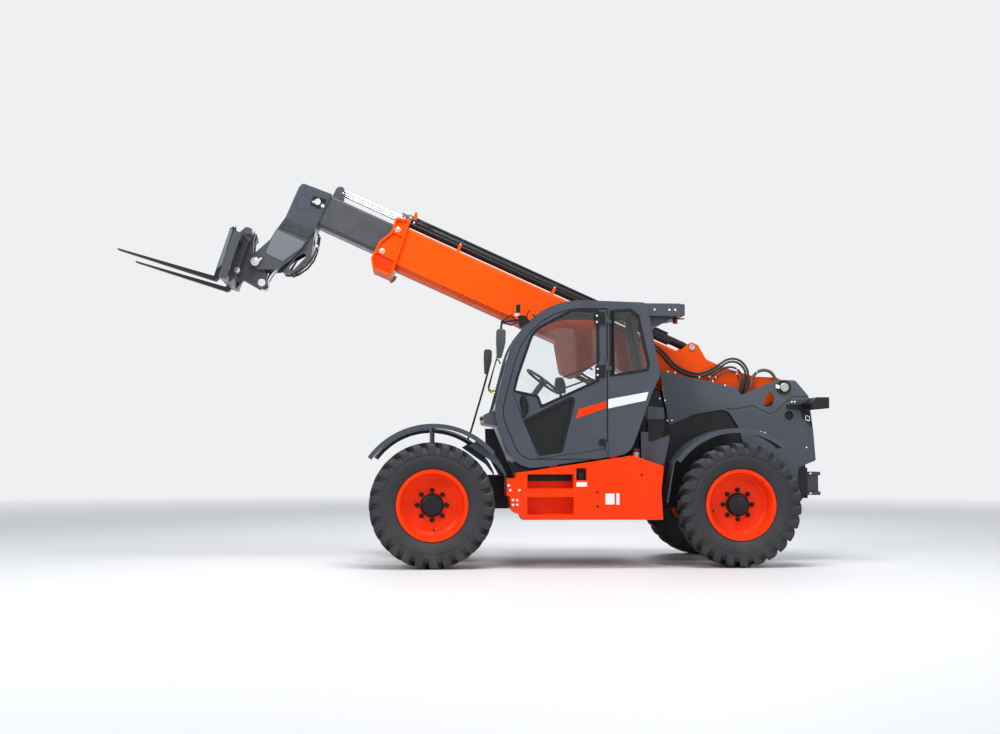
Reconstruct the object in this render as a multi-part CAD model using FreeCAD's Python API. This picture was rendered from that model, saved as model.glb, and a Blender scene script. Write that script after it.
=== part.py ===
import FreeCAD, Part
import math
import os

V = FreeCAD.Vector

# Frame: X forward, Y to the machine's left, Z up, millimetres, ground at Z = 0.

# Wheels and axles
FRONT_AXLE_X = 480.0
REAR_AXLE_X = -2560.0
TYRE_R = 616.0
TYRE_W = 380.0
LUGS = 26
LUG_H = 34.0
WHEEL_Y = 925.0
KINGPIN_Y = 760.0
RIM_FLANGE_R = 351.0
BEAD_R = 322.0
STEER_DEG = 35.0
RUN_FIT = 0.05

# Frame of the chassis
FRAME_Y = 320.0
PLATE_T = 25.0
FRAME_TOP = 900.0
FRAME_LOW = 560.0
AXLE_SEAT_Z = TYRE_R + 114.0
TRAY_IN_Y = 383.0

# Cab
CAB_OUT_Y = 1100.0
CAB_IN_Y = 255.0
CAB_WALL = 50.0
DOOR_REAR_X = -1235.0
DOOR_GAP = 6.0
DOOR_HINGE = (-1228.0, 1114.0)
DOOR_HINGE_Z = (1195.0, 1980.0, 2440.0)
HOOD_HINGE = (-380.0, 1500.0)
HOOD_HINGE_X = (-700.0, -1450.0)
HINGE_R = 12.0
HINGE_PIN_R = 6.0
HINGE_HALF = 40.0

# Boom, in its own lengths: s along the boom, n square to it, from the pivot pin
PIVOT = (-3214.0, 1818.0)
BOOM_DEG = 24.2
BOOM_HALF_W = 190.0
BOOM_TOP_N = -87.0
BOOM_LOW_N = -530.0
BOOM_END_S = 4300.0
BOOM_WALL = 12.0
BOOM_BEVEL = (40.0, 25.0)
TOW_PIN_R = 16.5
INNER_HALF_W = 155.0
INNER_TOP_N = -110.0
INNER_LOW_N = -458.0
INNER_WALL = 10.0
INNER_BEVEL = (34.0, 20.0)
INNER_START_S = 1000.0
HEAD_S = 5165.0
EXT_REAR = (1025.0, 12.0)
EXT_FRONT = (5109.0, 12.0)
EXT_R = 44.0
EXT_ROD_R = 25.0
FEED_Y = 66.0
FEED_N = -22.0
FEED_R = 17.0
FEED_ROD_R = 11.0
LIFT_PIN = (2117.0, -737.0)
LIFT_BASE = (-3000.0, 1000.0)
LIFT_R = 75.0
TILT_BASE = (5261.0, -236.0)
CARRIAGE_PIN = (5586.0, -1079.0)
TILT_EYE = (5420.0, -1254.0)

# Carriage and forks, in their own lengths: u along the forks, w square to them, from the carriage pin
FORK_DEG = 17.6
FORK_Y = 420.0
FORK_W = 110.0
FORK_T = 45.0
FORK_TIP_U = 1304.0
FORK_FACE_U = 300.0
CARRIAGE_HALF_W = 500.0


# Hoses: where they stand on the web, and each route as (x, z) in its own lane y. The two long ones end
# just short of their block on the boom, which swings past them.
PORT_Z = 1690.0
HOSE_BLOCK_S = 1480.0
HOSES = {
    "hose_long_upper": (24.0, 226.0, [
        (1468, -135), (1368, -135), (1233, -192), (1118, -250), (-2290, 1960), (-2414, 1985), (-2550, 2062),
        (-2661, 2135), (-2784, 2120), (-2862, 2025), (-2872, 1930), (-2840, 1830), (-2820, 1760),
        (-2820, PORT_Z)]),
    "hose_long_lower": (24.0, 226.0, [
        (1468, -167), (1372, -167), (1243, -224), (1125, -282), (-2285, 1930), (-2420, 1955), (-2560, 2033),
        (-2665, 2104), (-2768, 2090), (-2836, 2012), (-2843, 1930), (-2806, 1830), (-2788, 1760),
        (-2788, PORT_Z)]),
    "hose_short_upper": (22.0, 256.0, [
        (-2340, PORT_Z), (-2340, 1762), (-2372, 1840), (-2430, 1920), (-2525, 1993), (-2633, 2043),
        (-2736, 2030), (-2797, 1955), (-2803, 1865), (-2766, 1772), (-2766, PORT_Z)]),
    "hose_short_lower": (20.0, 284.0, [
        (-2390, PORT_Z), (-2390, 1763), (-2425, 1840), (-2490, 1915), (-2575, 1972), (-2658, 1998),
        (-2725, 1972), (-2764, 1910), (-2770, 1835), (-2741, 1762), (-2741, PORT_Z)]),
    "hose_return": (34.0, 244.0, [
        (-2893, PORT_Z), (-2893, 1762), (-2889, 1842), (-2905, 1922), (-2950, 1985), (-3025, 2013),
        (-3098, 1996), (-3142, 1948), (-3158, 1888), (-3146, 1822), (-3140, 1755), (-3140, PORT_Z)]),
}


# Simple bodies

def box(x0, x1, y0, y1, z0, z1):
    return Part.makeBox(x1 - x0, y1 - y0, z1 - z0, V(x0, y0, z0))


def corners(points):
    """A closed wire in XZ through corners (x, z) or (x, z, radius), each rounded by its radius."""
    n = len(points)
    cut = []
    for i in range(n):
        p = V(points[i][0], 0, points[i][1])
        r = points[i][2] if len(points[i]) > 2 else 0.0
        a = V(points[i - 1][0], 0, points[i - 1][1]) - p
        b = V(points[(i + 1) % n][0], 0, points[(i + 1) % n][1]) - p
        a.normalize()
        b.normalize()
        half = a.getAngle(b) / 2
        if r <= 0 or half > 1.56:
            cut.append((p, None, p))
            continue
        t = r / math.tan(half)
        mid = a + b
        mid.normalize()
        centre = p + mid * (r / math.sin(half))
        cut.append((p + a * t, centre - mid * r, p + b * t))
    edges = []
    for i in range(n):
        start, mid, end = cut[i]
        if mid is not None:
            edges.append(Part.Arc(start, mid, end).toShape())
        nxt = cut[(i + 1) % n][0]
        if (nxt - end).Length > 1e-6:
            edges.append(Part.makeLine(end, nxt))
    return Part.Wire(edges)


def plate(points, y0, y1):
    """A profile in XZ made into a plate from y0 to y1."""
    face = Part.Face(corners(points))
    face.translate(V(0, y0, 0))
    return face.extrude(V(0, y1 - y0, 0))


def inset(points, d):
    """The same profile with each side moved inward by d."""
    n = len(points)
    area = sum(points[i - 1][0] * points[i][1] - points[i][0] * points[i - 1][1] for i in range(n))
    turn = 1 if area > 0 else -1
    lines = []
    for i in range(n):
        x0, z0 = points[i][:2]
        x1, z1 = points[(i + 1) % n][:2]
        length = math.hypot(x1 - x0, z1 - z0)
        nx, nz = -(z1 - z0) / length * turn, (x1 - x0) / length * turn
        lines.append((nx, nz, nx * x0 + nz * z0 + d))
    out = []
    for i in range(n):
        a, b, c = lines[i - 1]
        e, f, g = lines[i]
        det = a * f - b * e
        x, z = (c * f - b * g) / det, (a * g - c * e) / det
        convex = det * turn > 0
        r = points[i][2] if len(points[i]) > 2 else 0.0
        r = max(r - d, 0.0) if convex else (r + d if r else 0.0)
        out.append((x, z, r))
    return out


def rod(p, q, r):
    """A round bar from p to q."""
    p, q = V(*p), V(*q)
    return Part.makeCylinder(r, (q - p).Length, p, q - p)


def cross(x, z, r, y0, y1):
    """A round bar along Y."""
    return Part.makeCylinder(r, y1 - y0, V(x, y0, z), V(0, 1, 0))


def mirror(shape):
    return shape.mirror(V(0, 0, 0), V(0, 1, 0))


def both(shape):
    """A piece and its mirror image on the other side, as one node of two solids."""
    return Part.makeCompound([shape, mirror(shape)])


def fuse(*shapes):
    return shapes[0].multiFuse(list(shapes[1:])).removeSplitter()


def group(*shapes):
    solids = []
    for shape in shapes:
        solids.extend(shape.Solids)
    return Part.makeCompound(solids)


# Places on the boom and the carriage

def boom_xz(s, n):
    a = math.radians(BOOM_DEG)
    return (PIVOT[0] + s * math.cos(a) - n * math.sin(a), PIVOT[1] + s * math.sin(a) + n * math.cos(a))


def on_boom(shape):
    """Puts a body drawn in (s, n) onto the boom."""
    shape = shape.copy()
    shape.rotate(V(0, 0, 0), V(0, 1, 0), -BOOM_DEG)
    shape.translate(V(PIVOT[0], 0, PIVOT[1]))
    return shape


def along_boom(outline, s0, s1):
    """A section of (y, n) corners carried along the boom."""
    wire = Part.makePolygon([V(s0, y, n) for y, n in outline + outline[:1]])
    return Part.Face(wire).extrude(V(s1 - s0, 0, 0))


def beam(s0, s1, half, low, top, bevel, d=0.0):
    """A box beam with bevelled edges (bottom, top); d makes it smaller all round."""
    half, low, top = half - d, low + d, top - d
    cut_low, cut_top = (b - d * (2 - math.sqrt(2)) for b in bevel)
    side = [(half - cut_low, low), (half, low + cut_low), (half, top - cut_top), (half - cut_top, top)]
    return along_boom(side + [(-y, n) for y, n in reversed(side)], s0, s1)


def outer_beam(s0, s1, d=0.0):
    return beam(s0, s1, BOOM_HALF_W, BOOM_LOW_N, BOOM_TOP_N, BOOM_BEVEL, d)


def inner_beam(s0, s1, d=0.0):
    return beam(s0, s1, INNER_HALF_W, INNER_LOW_N, INNER_TOP_N, INNER_BEVEL, d)


def feeds(s0, s1, r):
    """The two oil pipes beside the extension cylinder, drawn as round bars."""
    return [rod((s0, y, FEED_N), (s1, y, FEED_N), r) for y in (FEED_Y, -FEED_Y)]


def on_carriage(shape):
    x, z = boom_xz(*CARRIAGE_PIN)
    shape = shape.copy()
    shape.rotate(V(0, 0, 0), V(0, 1, 0), -FORK_DEG)
    shape.translate(V(x, 0, z))
    return shape


# Profiles read from the photo, corners as (x, z, radius)

CAB = [(-334, 952, 280), (-107, 1506, 400), (-407, 2648, 760), (-1632, 2612, 60),
       (-1762, 1895, 90), (-1672, 1700, 150), (-1458, 1118, 180)]
DOOR_GLASS = [(-1153, 1831, 20), (-1153, 2533, 20), (-900, 2545, 120), (-500, 2330, 260), (-344, 1881, 30),
              (-304, 1723, 25), (-540, 1672, 20), (-579, 1568, 15)]
DOOR_LOW_GLASS = [(-409, 1448, 30), (-935, 1712, 40), (-789, 1129, 40), (-559, 1096, 40)]
QUARTER_GLASS = [(-1290, 2530, 25), (-1472, 2545, 60), (-1551, 2483, 40), (-1655, 1992, 30),
                 (-1640, 1939, 20), (-1290, 1880, 25)]
SIDE_PANEL = [(-1902, 1990), (-2715, 1816, 30), (-2754, 1733, 40), (-3143, 1900, 60), (-3338, 1894, 40),
              (-3478, 1730, 30), (-3523, 1360), (-3544, 1055, 20), (-3360, 980), (-3330, 700), (-2900, 740),
              (-2730, 1398, 40), (-2604, 1593, 120), (-2263, 1536, 300), (-1994, 1421)]
TEARDROP = [(-3023, 1613, 25), (-3087, 1624, 30), (-3109, 1698, 60), (-3089, 1761, 30), (-3046, 1770, 20),
            (-2991, 1644, 20)]


def cab_bottom(x):
    """Height of the cab's sloping underside."""
    (x0, z0, _), (x1, z1, _) = CAB[0], CAB[-1]
    return z0 + (z1 - z0) * (x - x0) / (x1 - x0)


def under_cab(shape, gap=0.0):
    return shape.common(plate([(-2500, 0), (-2500, cab_bottom(-2500) - gap), (0, cab_bottom(0) - gap), (0, 0)],
                              -1300, 1300))


# Wheels

def faceted(rings):
    """A closed body of flat four-sided facets between rings of corners, the last ring joined to the first."""
    faces = []
    count = len(rings[0])
    for i in range(len(rings)):
        a, b = rings[i - 1], rings[i]
        for k in range(count):
            j = (k + 1) % count
            faces.append(Part.Face(Part.makePolygon([a[k], a[j], b[j], b[k], a[k]])))
    shell = Part.makeShell(faces)
    shell.sewShape()
    body = Part.makeSolid(shell)
    if body.Volume < 0:
        body.reverse()
    return body


def lug(row):
    """A tread bar at the top of the tyre, from the shoulder of one row (1 or -1) almost to the middle."""
    ends = []
    for share, shift, half in ((0.98, 4, 38), (0.16, 100, 24)):
        y, low = row * share * TYRE_W / 2, row * (share - 0.24) * TYRE_W / 2
        top = math.sqrt(TYRE_R ** 2 - (shift + half) ** 2)
        foot = top - LUG_H - 62
        ends.append([V(shift - half - 14, low, foot), V(shift - half, y, top), V(shift + half, y, top),
                     V(shift + half + 14, low, foot)])
    a, b = ends
    faces = [Part.Face(Part.makePolygon(end + end[:1])) for end in ends]
    for k in range(4):
        j = (k + 1) % 4
        faces.append(Part.Face(Part.makePolygon([a[k], a[j], b[j], b[k], a[k]])))
    shell = Part.makeShell(faces)
    shell.sewShape()
    body = Part.makeSolid(shell)
    if body.Volume < 0:
        body.reverse()
    return body


def tyre():
    """A lugged tyre about the origin, its axle along Y, of flat facets only, clear of the rim by a hair."""
    step = 2 * math.pi / LUGS
    out = 1 / math.cos(step / 2)
    half, bead = TYRE_W / 2, TYRE_W / 2 * 0.62
    side = [((BEAD_R + 0.3) * out, bead), ((RIM_FLANGE_R + 0.3) * out, bead + 30), (BEAD_R + 148, half),
            (TYRE_R - LUG_H, half * 0.90)]
    section = [(r, -y) for r, y in side] + [(r, y) for r, y in reversed(side)]
    turns = [(k + 0.3) * step for k in range(LUGS)]
    body = faceted([[V(r * math.sin(a), y, r * math.cos(a)) for r, y in section] for a in turns])
    bars = []
    lean = math.degrees(math.asin(42 / TYRE_R))
    for row, shift in ((1, 0.0), (-1, 0.5)):
        for k in range(LUGS):
            bar = lug(row)
            bar.rotate(V(0, 0, 0), V(0, 1, 0), math.degrees((k + shift) * step) - lean)
            bars.append(bar)
    return body.multiFuse(bars)


def turned(profile):
    """A body turned about the Y axis from (radius, y) points."""
    wire = Part.makePolygon([V(r, y, 0) for r, y in profile] + [V(profile[0][0], profile[0][1], 0)])
    return Part.Face(wire).revolve(V(0, 0, 0), V(0, 1, 0), 360)


def rim():
    """A rim about the origin, outer side toward +Y, its disc bolted on the hub."""
    half = TYRE_W / 2 * 0.62
    barrel = turned([(BEAD_R, -half), (BEAD_R, half), (RIM_FLANGE_R, half + 30), (RIM_FLANGE_R, half + 42),
                     (BEAD_R - 6, half + 42), (BEAD_R - 26, half - 10), (BEAD_R - 26, 22), (BEAD_R - 60, 2),
                     (105, 2), (105, -12), (BEAD_R - 50, -12), (BEAD_R - 26, -16), (BEAD_R - 12, -half),
                     (BEAD_R - 6, -half - 42), (RIM_FLANGE_R, -half - 42), (RIM_FLANGE_R, -half - 30)])
    hub = turned([(105, 40), (70, 52), (0, 52), (0, -34), (105, -34)])
    return fuse(barrel, hub)


def at_wheel(shape, x, side):
    """Puts a wheel piece, drawn for the left side, on its axle end."""
    shape = shape.copy()
    shape.translate(V(x, WHEEL_Y, TYRE_R))
    return shape if side > 0 else mirror(shape)


def knuckle(x, side):
    """The steered end of an axle: a block on the kingpin with the wheel's stub."""
    z = TYRE_R
    body = box(x - 75, x + 75, KINGPIN_Y - 60, KINGPIN_Y + 60, z - 105, z + 105)
    stub = cross(x, z, 95, KINGPIN_Y + 60, WHEEL_Y - 34 - 1)
    pins = [Part.makeCylinder(25, 60, V(x, KINGPIN_Y, z + 105)),
            Part.makeCylinder(25, 60, V(x, KINGPIN_Y, z - 165))]
    arm = box(x - 110, x - 75, KINGPIN_Y - 50, KINGPIN_Y - 20, z - 20, z + 20)
    shape = fuse(body, stub, pins[0], pins[1], arm)
    return shape if side > 0 else mirror(shape)


def axle(x):
    """A steered axle: housing, tubes, and a yoke at each end round the knuckle."""
    z = TYRE_R
    housing = Part.makeSphere(185, V(x, 0, z)).common(box(x - 200, x + 200, -170, 170, z - 200, z + 200))
    parts = [housing, cross(x, z, 85, -KINGPIN_Y + 130, KINGPIN_Y - 130)]
    for side in (1, -1):
        web = box(x - 70, x + 70, KINGPIN_Y - 150, KINGPIN_Y - 112, z - 150, z + 150)
        arms = [box(x - 60, x + 60, KINGPIN_Y - 150, KINGPIN_Y + 50, z + 110, z + 150),
                box(x - 60, x + 60, KINGPIN_Y - 150, KINGPIN_Y + 50, z - 150, z - 110)]
        bore = Part.makeCylinder(25 + RUN_FIT, 400, V(x, KINGPIN_Y, z - 200))
        yoke = fuse(web, *arms).cut(bore)
        pad = box(x - 110, x + 110, FRAME_Y - 75, FRAME_Y, z + 20, AXLE_SEAT_Z)
        if side < 0:
            yoke, pad = mirror(yoke), mirror(pad)
        parts += [yoke, pad]
    return fuse(*parts)


# Hoses

def hose_route(name):
    """The corners of a hose's route; the first three of a long hose are given along the boom."""
    lane, points = HOSES[name][1:]
    return [V(x, lane, z) for x, z in (boom_xz(*p) if p[0] > 0 else p for p in points)]


def hose(name):
    """A tube of straight runs joined by arcs, each as large as its two runs allow."""
    points = hose_route(name)
    edges, at, radii = [], points[0], []
    for a, p, b in zip(points, points[1:], points[2:]):
        before, after = p - a, b - p
        turn = before.getAngle(after)
        reach = 0.45 * min(before.Length, after.Length)
        radii.append(reach / math.tan(turn / 2))
        before.normalize()
        after.normalize()
        inward = after - before
        inward.normalize()
        start, end = p - before * reach, p + after * reach
        middle = p + inward * (radii[-1] / math.cos(turn / 2) - radii[-1])
        edges += [Part.LineSegment(at, start).toShape(), Part.Arc(start, middle, end).toShape()]
        at = end
    edges.append(Part.LineSegment(at, points[-1]).toShape())
    path = Part.Wire(edges)
    ring = Part.Wire(Part.makeCircle(HOSES[name][0] / 2, points[0], points[1] - points[0]))
    tube = path.makePipeShell([ring], True, False)
    print(name, round(path.Length), "mm long, arc radii", [round(r) for r in radii])
    return tube


def hose_ports():
    """Shelves on the left web with a fitting under the end of each hose."""
    parts = []
    for x0, x1 in ((-2430, -2300), (-2930, -2700), (-3180, -3100)):
        parts.append(box(x0, x1, 214, FRAME_Y - 1, 1639, 1665))
    for name in HOSES:
        r = HOSES[name][0] / 2
        for end in (hose_route(name)[0], hose_route(name)[-1]):
            if abs(end.z - PORT_Z) < 1:
                parts.append(Part.makeCylinder(r + 5, PORT_Z - 1665, V(end.x, end.y, 1665)))
    return parts


# The chassis

def chassis_frame():
    web = [(950, 640), (950, 820, 60), (700, FRAME_TOP, 60), (-1480, FRAME_TOP), (-1500, FRAME_TOP),
           (-1830, 960), (-1950, 1560, 60), (-2300, 1640, 60), (-3200, 1640, 60), (-3440, 1400, 40), (-3440, 700),
           (-3330, FRAME_LOW), (-2820, FRAME_LOW), (-2780, AXLE_SEAT_Z), (-2340, AXLE_SEAT_Z), (-2300, FRAME_LOW),
           (240, FRAME_LOW), (290, AXLE_SEAT_Z), (670, AXLE_SEAT_Z), (710, 640)]
    left = plate(web, FRAME_Y - PLATE_T, FRAME_Y)
    parts = [left, mirror(left)]
    y = FRAME_Y - PLATE_T
    parts += [box(925, 950, -y, y, 660, 800), box(-2290, 230, -y, y, FRAME_LOW, FRAME_LOW + 15),
              box(-60, 60, -y, y, FRAME_LOW, 700), box(-1000, -900, -y, y, FRAME_LOW, 760),
              box(-1840, -1740, -y, y, FRAME_LOW, 760), box(-3300, -3280, -y, y, FRAME_LOW + 40, 1500)]
    for x in (-450, -1600):
        parts.append(box(x - 50, x + 50, FRAME_Y, 740, 640, 760))
        parts.append(box(x - 50, x + 50, -TRAY_IN_Y, -FRAME_Y, 580, 700))
    for x in (-600, -1300):
        parts.append(under_cab(box(x - 40, x + 40, FRAME_Y - PLATE_T, FRAME_Y + 20, FRAME_TOP - 20, 1200)))
    x, z = LIFT_BASE
    lug = plate([(x - 80, z + 80, 60), (x + 80, z + 80, 60), (x + 80, z - 80, 20), (x - 80, z - 80, 20)], 80, y)
    parts += [lug, mirror(lug), cross(x, z, 35, -y, y)]
    parts += [box(-3460, -3440, -FRAME_Y, FRAME_Y, 660, 980), box(-3480, -3460, -120, 120, 661, 965),
              box(-3670, -3480, -90, 90, 690, 720), box(-3670, -3480, -90, 90, 900, 930)]
    for y in (-75, 55):
        parts.append(box(-3650, -3480, y, y + 20, 720, 900))
    parts += hose_ports()
    return fuse(*parts).cut(Part.makeCylinder(TOW_PIN_R, 330, V(-3560, 0, 640)))


def side_plates():
    """The two tall plates that hold the boom, with the pin through them."""
    side = plate(SIDE_PANEL, FRAME_Y, FRAME_Y + PLATE_T)
    side = side.cut(plate(TEARDROP, 0, 500))
    side = side.cut(cross(-3266, 1525, 48, 0, 500))
    side = side.fuse(cross(PIVOT[0], PIVOT[1], 75, FRAME_Y - 40, FRAME_Y + PLATE_T + 12))
    pin = cross(PIVOT[0], PIVOT[1], 45, -FRAME_Y - 60, FRAME_Y + 60)
    return fuse(side, mirror(side), pin)


def counterweight():
    y = FRAME_Y - PLATE_T
    block = plate([(-3300, 620, 20), (-3300, 1480, 20), (-3420, 1350, 20), (-3438, 720, 20)], -y + 1, y - 1)
    return block


def step_tank():
    """The sill box under the cab, with its two step openings and its filler."""
    outline = [(-245, 881), (-331, 881), (-338, 940), (-381, 952), (-1489, 1100), (-1785, 998), (-1758, 756),
               (-1774, 475), (-400, 477), (-375, 535), (-325, 542), (-288, 585), (-270, 709), (-245, 709)]
    tank = under_cab(plate(outline, 740, 1120), 20)
    for x in (-700, -1300):
        tank = tank.fuse(under_cab(box(x - 40, x + 40, 980, 1060, 900, 1200)))
    for x0, x1, z0, z1 in ((-895, -443, 781, 919), (-897, -442, 529, 699)):
        tank = tank.cut(box(x0, x1, 960, 1130, z0, z1))
    tank = tank.cut(box(-1022, -922, 1060, 1130, 861, 980))
    return tank.removeSplitter()


def fender(cx, cz, r_out, a0, a1, y0, y1):
    """A curved sheet over a wheel, with an edge turned in along its outer side."""
    def sector(r0, r1, ya, yb):
        ring = cross(cx, cz, r1, ya, yb).cut(cross(cx, cz, r0, ya, yb))
        far = 3 * r1
        points = [(cx, cz)]
        steps = 6
        for i in range(steps + 1):
            a = math.radians(a0 + (a1 - a0) * i / steps)
            points.append((cx + far * math.cos(a), cz + far * math.sin(a)))
        return ring.common(plate(points, ya, yb))
    return fuse(sector(r_out - 12, r_out, y0, y1), sector(r_out - 45, r_out - 12, y1 - 12, y1))


def front_fenders():
    arm = plate([(-245, 770), (-245, 960, 60), (-160, 1110, 60), (-40, 1300), (120, 1200), (-150, 1010, 60),
                 (-233, 900, 40), (-233, 770)], 990, 1002)
    arm = arm.common(cross(470, TYRE_R + 9, TYRE_R + 157, 900, 1100))
    foot = box(-245, -235, 960, 1060, 765, 875)
    top = TYRE_R + 761
    post = [rod((470, FRAME_Y + 22, 880), (470, FRAME_Y + 22, top), 22),
            rod((470, FRAME_Y + 22, top), (470, 800, top), 22),
            box(430, 510, FRAME_Y, FRAME_Y + 40, 860, 900)]
    return both(fuse(fender(470, TYRE_R + 9, TYRE_R + 169, 36, 140, 750, 1110), arm, foot, *post))


def rear_fenders():
    sheet = fender(-2540, TYRE_R - 4, TYRE_R + 144, 36, 131, 700, 1080)
    stay = box(-2600, -2480, FRAME_Y, 700, TYRE_R + 734, TYRE_R + 750)
    foot = TYRE_R + 443
    flap = plate([(-1922, foot + 8), (-1934, foot + 8), (-1904, foot - 30), (-1836, 640), (-1824, 640),
                  (-1892, foot - 30)], 720, 1060)
    return both(fuse(sheet, stay, flap))


# The cab

def cab_shell():
    outer = plate(CAB, CAB_IN_Y, CAB_OUT_Y)
    inner = plate(inset(CAB, CAB_WALL), CAB_IN_Y + CAB_WALL, CAB_OUT_Y - CAB_WALL)
    return outer.cut(inner)


def door_cut(gap):
    """The doorway, or the door itself when a gap is given."""
    shape = plate(inset(CAB, 80 + gap), CAB_OUT_Y - CAB_WALL - 5, CAB_OUT_Y + 5)
    return shape.common(box(DOOR_REAR_X + gap, 0, 900, 1200, 800, 2800))


def door_hinges(side):
    """Lift-off hinges: side -1 gives the halves on the pillar with their pins, side 1 those on the door."""
    x, y = DOOR_HINGE
    parts = []
    for z in DOOR_HINGE_Z:
        if side < 0:
            parts += [Part.makeCylinder(HINGE_R, HINGE_HALF - 0.5, V(x, y, z - HINGE_HALF)),
                      Part.makeCylinder(HINGE_PIN_R, HINGE_HALF, V(x, y, z - 2)),
                      box(x - 50, x, CAB_OUT_Y, CAB_OUT_Y + 8, z - HINGE_HALF + 2, z - 2)]
        else:
            leaf = fuse(Part.makeCylinder(HINGE_R, HINGE_HALF - 0.5, V(x, y, z + 0.5)),
                        box(x, x + 80, CAB_OUT_Y - 2, CAB_OUT_Y + 8, z + 2, z + HINGE_HALF - 2))
            parts.append(leaf.cut(Part.makeCylinder(HINGE_PIN_R + RUN_FIT, 2 * HINGE_HALF, V(x, y, z - 5))))
    return parts


def cab_frame():
    shell = cab_shell()
    shell = shell.cut(door_cut(0.0))
    shell = shell.cut(box(-900, 100, CAB_IN_Y + 75, CAB_OUT_Y - 75, 1560, 2500))
    shell = shell.cut(box(-1800, -1400, CAB_IN_Y + 75, CAB_OUT_Y - 75, 1950, 2480))
    shell = shell.cut(plate(QUARTER_GLASS, CAB_OUT_Y - 100, CAB_OUT_Y + 10))
    right = plate(inset(CAB, 105), CAB_IN_Y - 10, CAB_IN_Y + CAB_WALL + 5)
    shell = shell.cut(right.common(box(-1750, 0, 0, 400, 1640, 2560)))
    return fuse(shell.cut(box(-1800, 0, 0, 1200, 2562, 2700)), *door_hinges(-1))


def cab_roof():
    top = cab_shell().common(box(-1800, 0, 0, 1200, 2562, 2700))
    rear = box(-1985, -1620, 330, 1040, 2488, 2612)
    duct = plate([(-1640, 2500), (-1940, 2500), (-1940, 2488), (-1780, 2400), (-1640, 2400)], 500, 900)
    rear = fuse(rear, duct).cut(plate(CAB, 200, 1200))
    end = box(-2030, -1985, 350, 1020, 2496, 2608)
    return fuse(top, rear, end)


def cab_glass():
    band = plate(inset(CAB, 12), CAB_IN_Y + 75, CAB_OUT_Y - 75).cut(
        plate(inset(CAB, 18), CAB_IN_Y + 75, CAB_OUT_Y - 75))
    front = band.common(box(-900, 100, 0, 1200, 1560, 2500))
    rear = band.common(box(-1800, -1400, 0, 1200, 1950, 2480))
    quarter = plate(QUARTER_GLASS, CAB_OUT_Y - 22, CAB_OUT_Y - 16)
    right = plate(inset(CAB, 105), CAB_IN_Y + 16, CAB_IN_Y + 22)
    right = right.common(box(-1750, 0, 0, 400, 1640, 2560))
    return group(front, rear, quarter, right)


def door_panel():
    door = door_cut(DOOR_GAP).common(box(-1300, 0, CAB_OUT_Y - CAB_WALL, CAB_OUT_Y - 2, 800, 2800))
    door = door.cut(plate(DOOR_GLASS, 900, 1200)).cut(plate(DOOR_LOW_GLASS, 900, 1200))
    handle = fuse(box(-425, -400, CAB_OUT_Y - 2, CAB_OUT_Y + 28, 1480, 1500),
                  box(-425, -400, CAB_OUT_Y - 2, CAB_OUT_Y + 28, 1680, 1700),
                  box(-425, -400, CAB_OUT_Y + 18, CAB_OUT_Y + 38, 1480, 1700))
    return fuse(door, handle, *door_hinges(1))


def door_glass():
    return group(plate(DOOR_GLASS, CAB_OUT_Y - 26, CAB_OUT_Y - 20),
                 plate(DOOR_LOW_GLASS, CAB_OUT_Y - 26, CAB_OUT_Y - 20))


def seat():
    base = box(-1250, -850, 480, 880, 1000, 1400)
    base = base.cut(under_cab(base, -58))
    cushion = box(-1330, -800, 430, 930, 1400, 1520)
    back = plate([(-1330, 1520, 20), (-1180, 1520, 20), (-1290, 2130, 40), (-1400, 2130, 40)], 450, 910)
    return fuse(base, cushion, back)


def dashboard():
    pod = plate([(-560, 1400, 40), (-640, 1560, 60), (-460, 1720, 60), (-230, 1600, 60), (-230, 1400, 20)], 380, 960)
    floor = plate([(-1500, cab_bottom(-1500) + 52), (-1500, cab_bottom(-1500) + 58), (-400, cab_bottom(-400) + 58),
                   (-400, cab_bottom(-400) + 52)], 320, 1030)
    leg = box(-460, -370, 600, 740, 1000, 1400)
    column = rod((-500, 680, 1650), (-640, 680, 1840), 30)
    wheel = Part.makeTorus(190, 14, V(-640, 680, 1850), V(-0.6, 0, 0.8))
    hub = rod((-632, 680, 1832), (-650, 680, 1862), 45)
    spokes = [rod((-641, 680, 1849), (-641, 680 + d, 1849), 10) for d in (185, -185)]
    room = plate(inset(CAB, CAB_WALL), CAB_IN_Y + CAB_WALL, CAB_OUT_Y - CAB_WALL)
    return fuse(pod, leg, floor, column, wheel, hub, *spokes).common(room)


def side_gear():
    """The bracket box and the oil filter between the cab and the rear wheel."""
    bracket = box(-1811, -1600, 760, 900, 1000, 1337).cut(plate(inset(CAB, -12), 0, 1200))
    low = plate([(-1489, 1100), (-1785, 1003), (-2000, 930), (-2000, 800), (-1489, 800)], 0, 1200)
    can = Part.makeCylinder(42, 128, V(-1530, 960, 1040))
    cap = Part.makeCylinder(46, 16, V(-1530, 960, 1152))
    return group(bracket.cut(low), fuse(can, cap).cut(step_tank()))


# The engine side

def hood_room(d):
    """The space under the hood, d inside its outer skin."""
    top = HOOD_HINGE[1]
    return plate([(-345 - d, 400), (-345 - d, 902), (-370 - d, 1300, 140 - d), (-520, top - d, 160 - d),
                  (-1750 + d, top - d, 40 - d), (-1750 + d, 400)], -1110 + d, 0)


def hood_hinges(side):
    """Hinges along the hood's inner edge: side -1 gives the halves on the wall, side 1 those on the hood."""
    y, z = HOOD_HINGE
    parts = []
    for x in HOOD_HINGE_X:
        if side < 0:
            parts += [rod((x - HINGE_HALF, y, z), (x - 0.5, y, z), HINGE_R), rod((x - 2, y, z), (x + 36, y, z), HINGE_PIN_R),
                      box(x - HINGE_HALF, x - 0.5, -TRAY_IN_Y - 12, -TRAY_IN_Y, z - 20, z)]
        else:
            parts.append(rod((x + 0.5, y, z), (x + HINGE_HALF, y, z), HINGE_R))
    return parts


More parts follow.
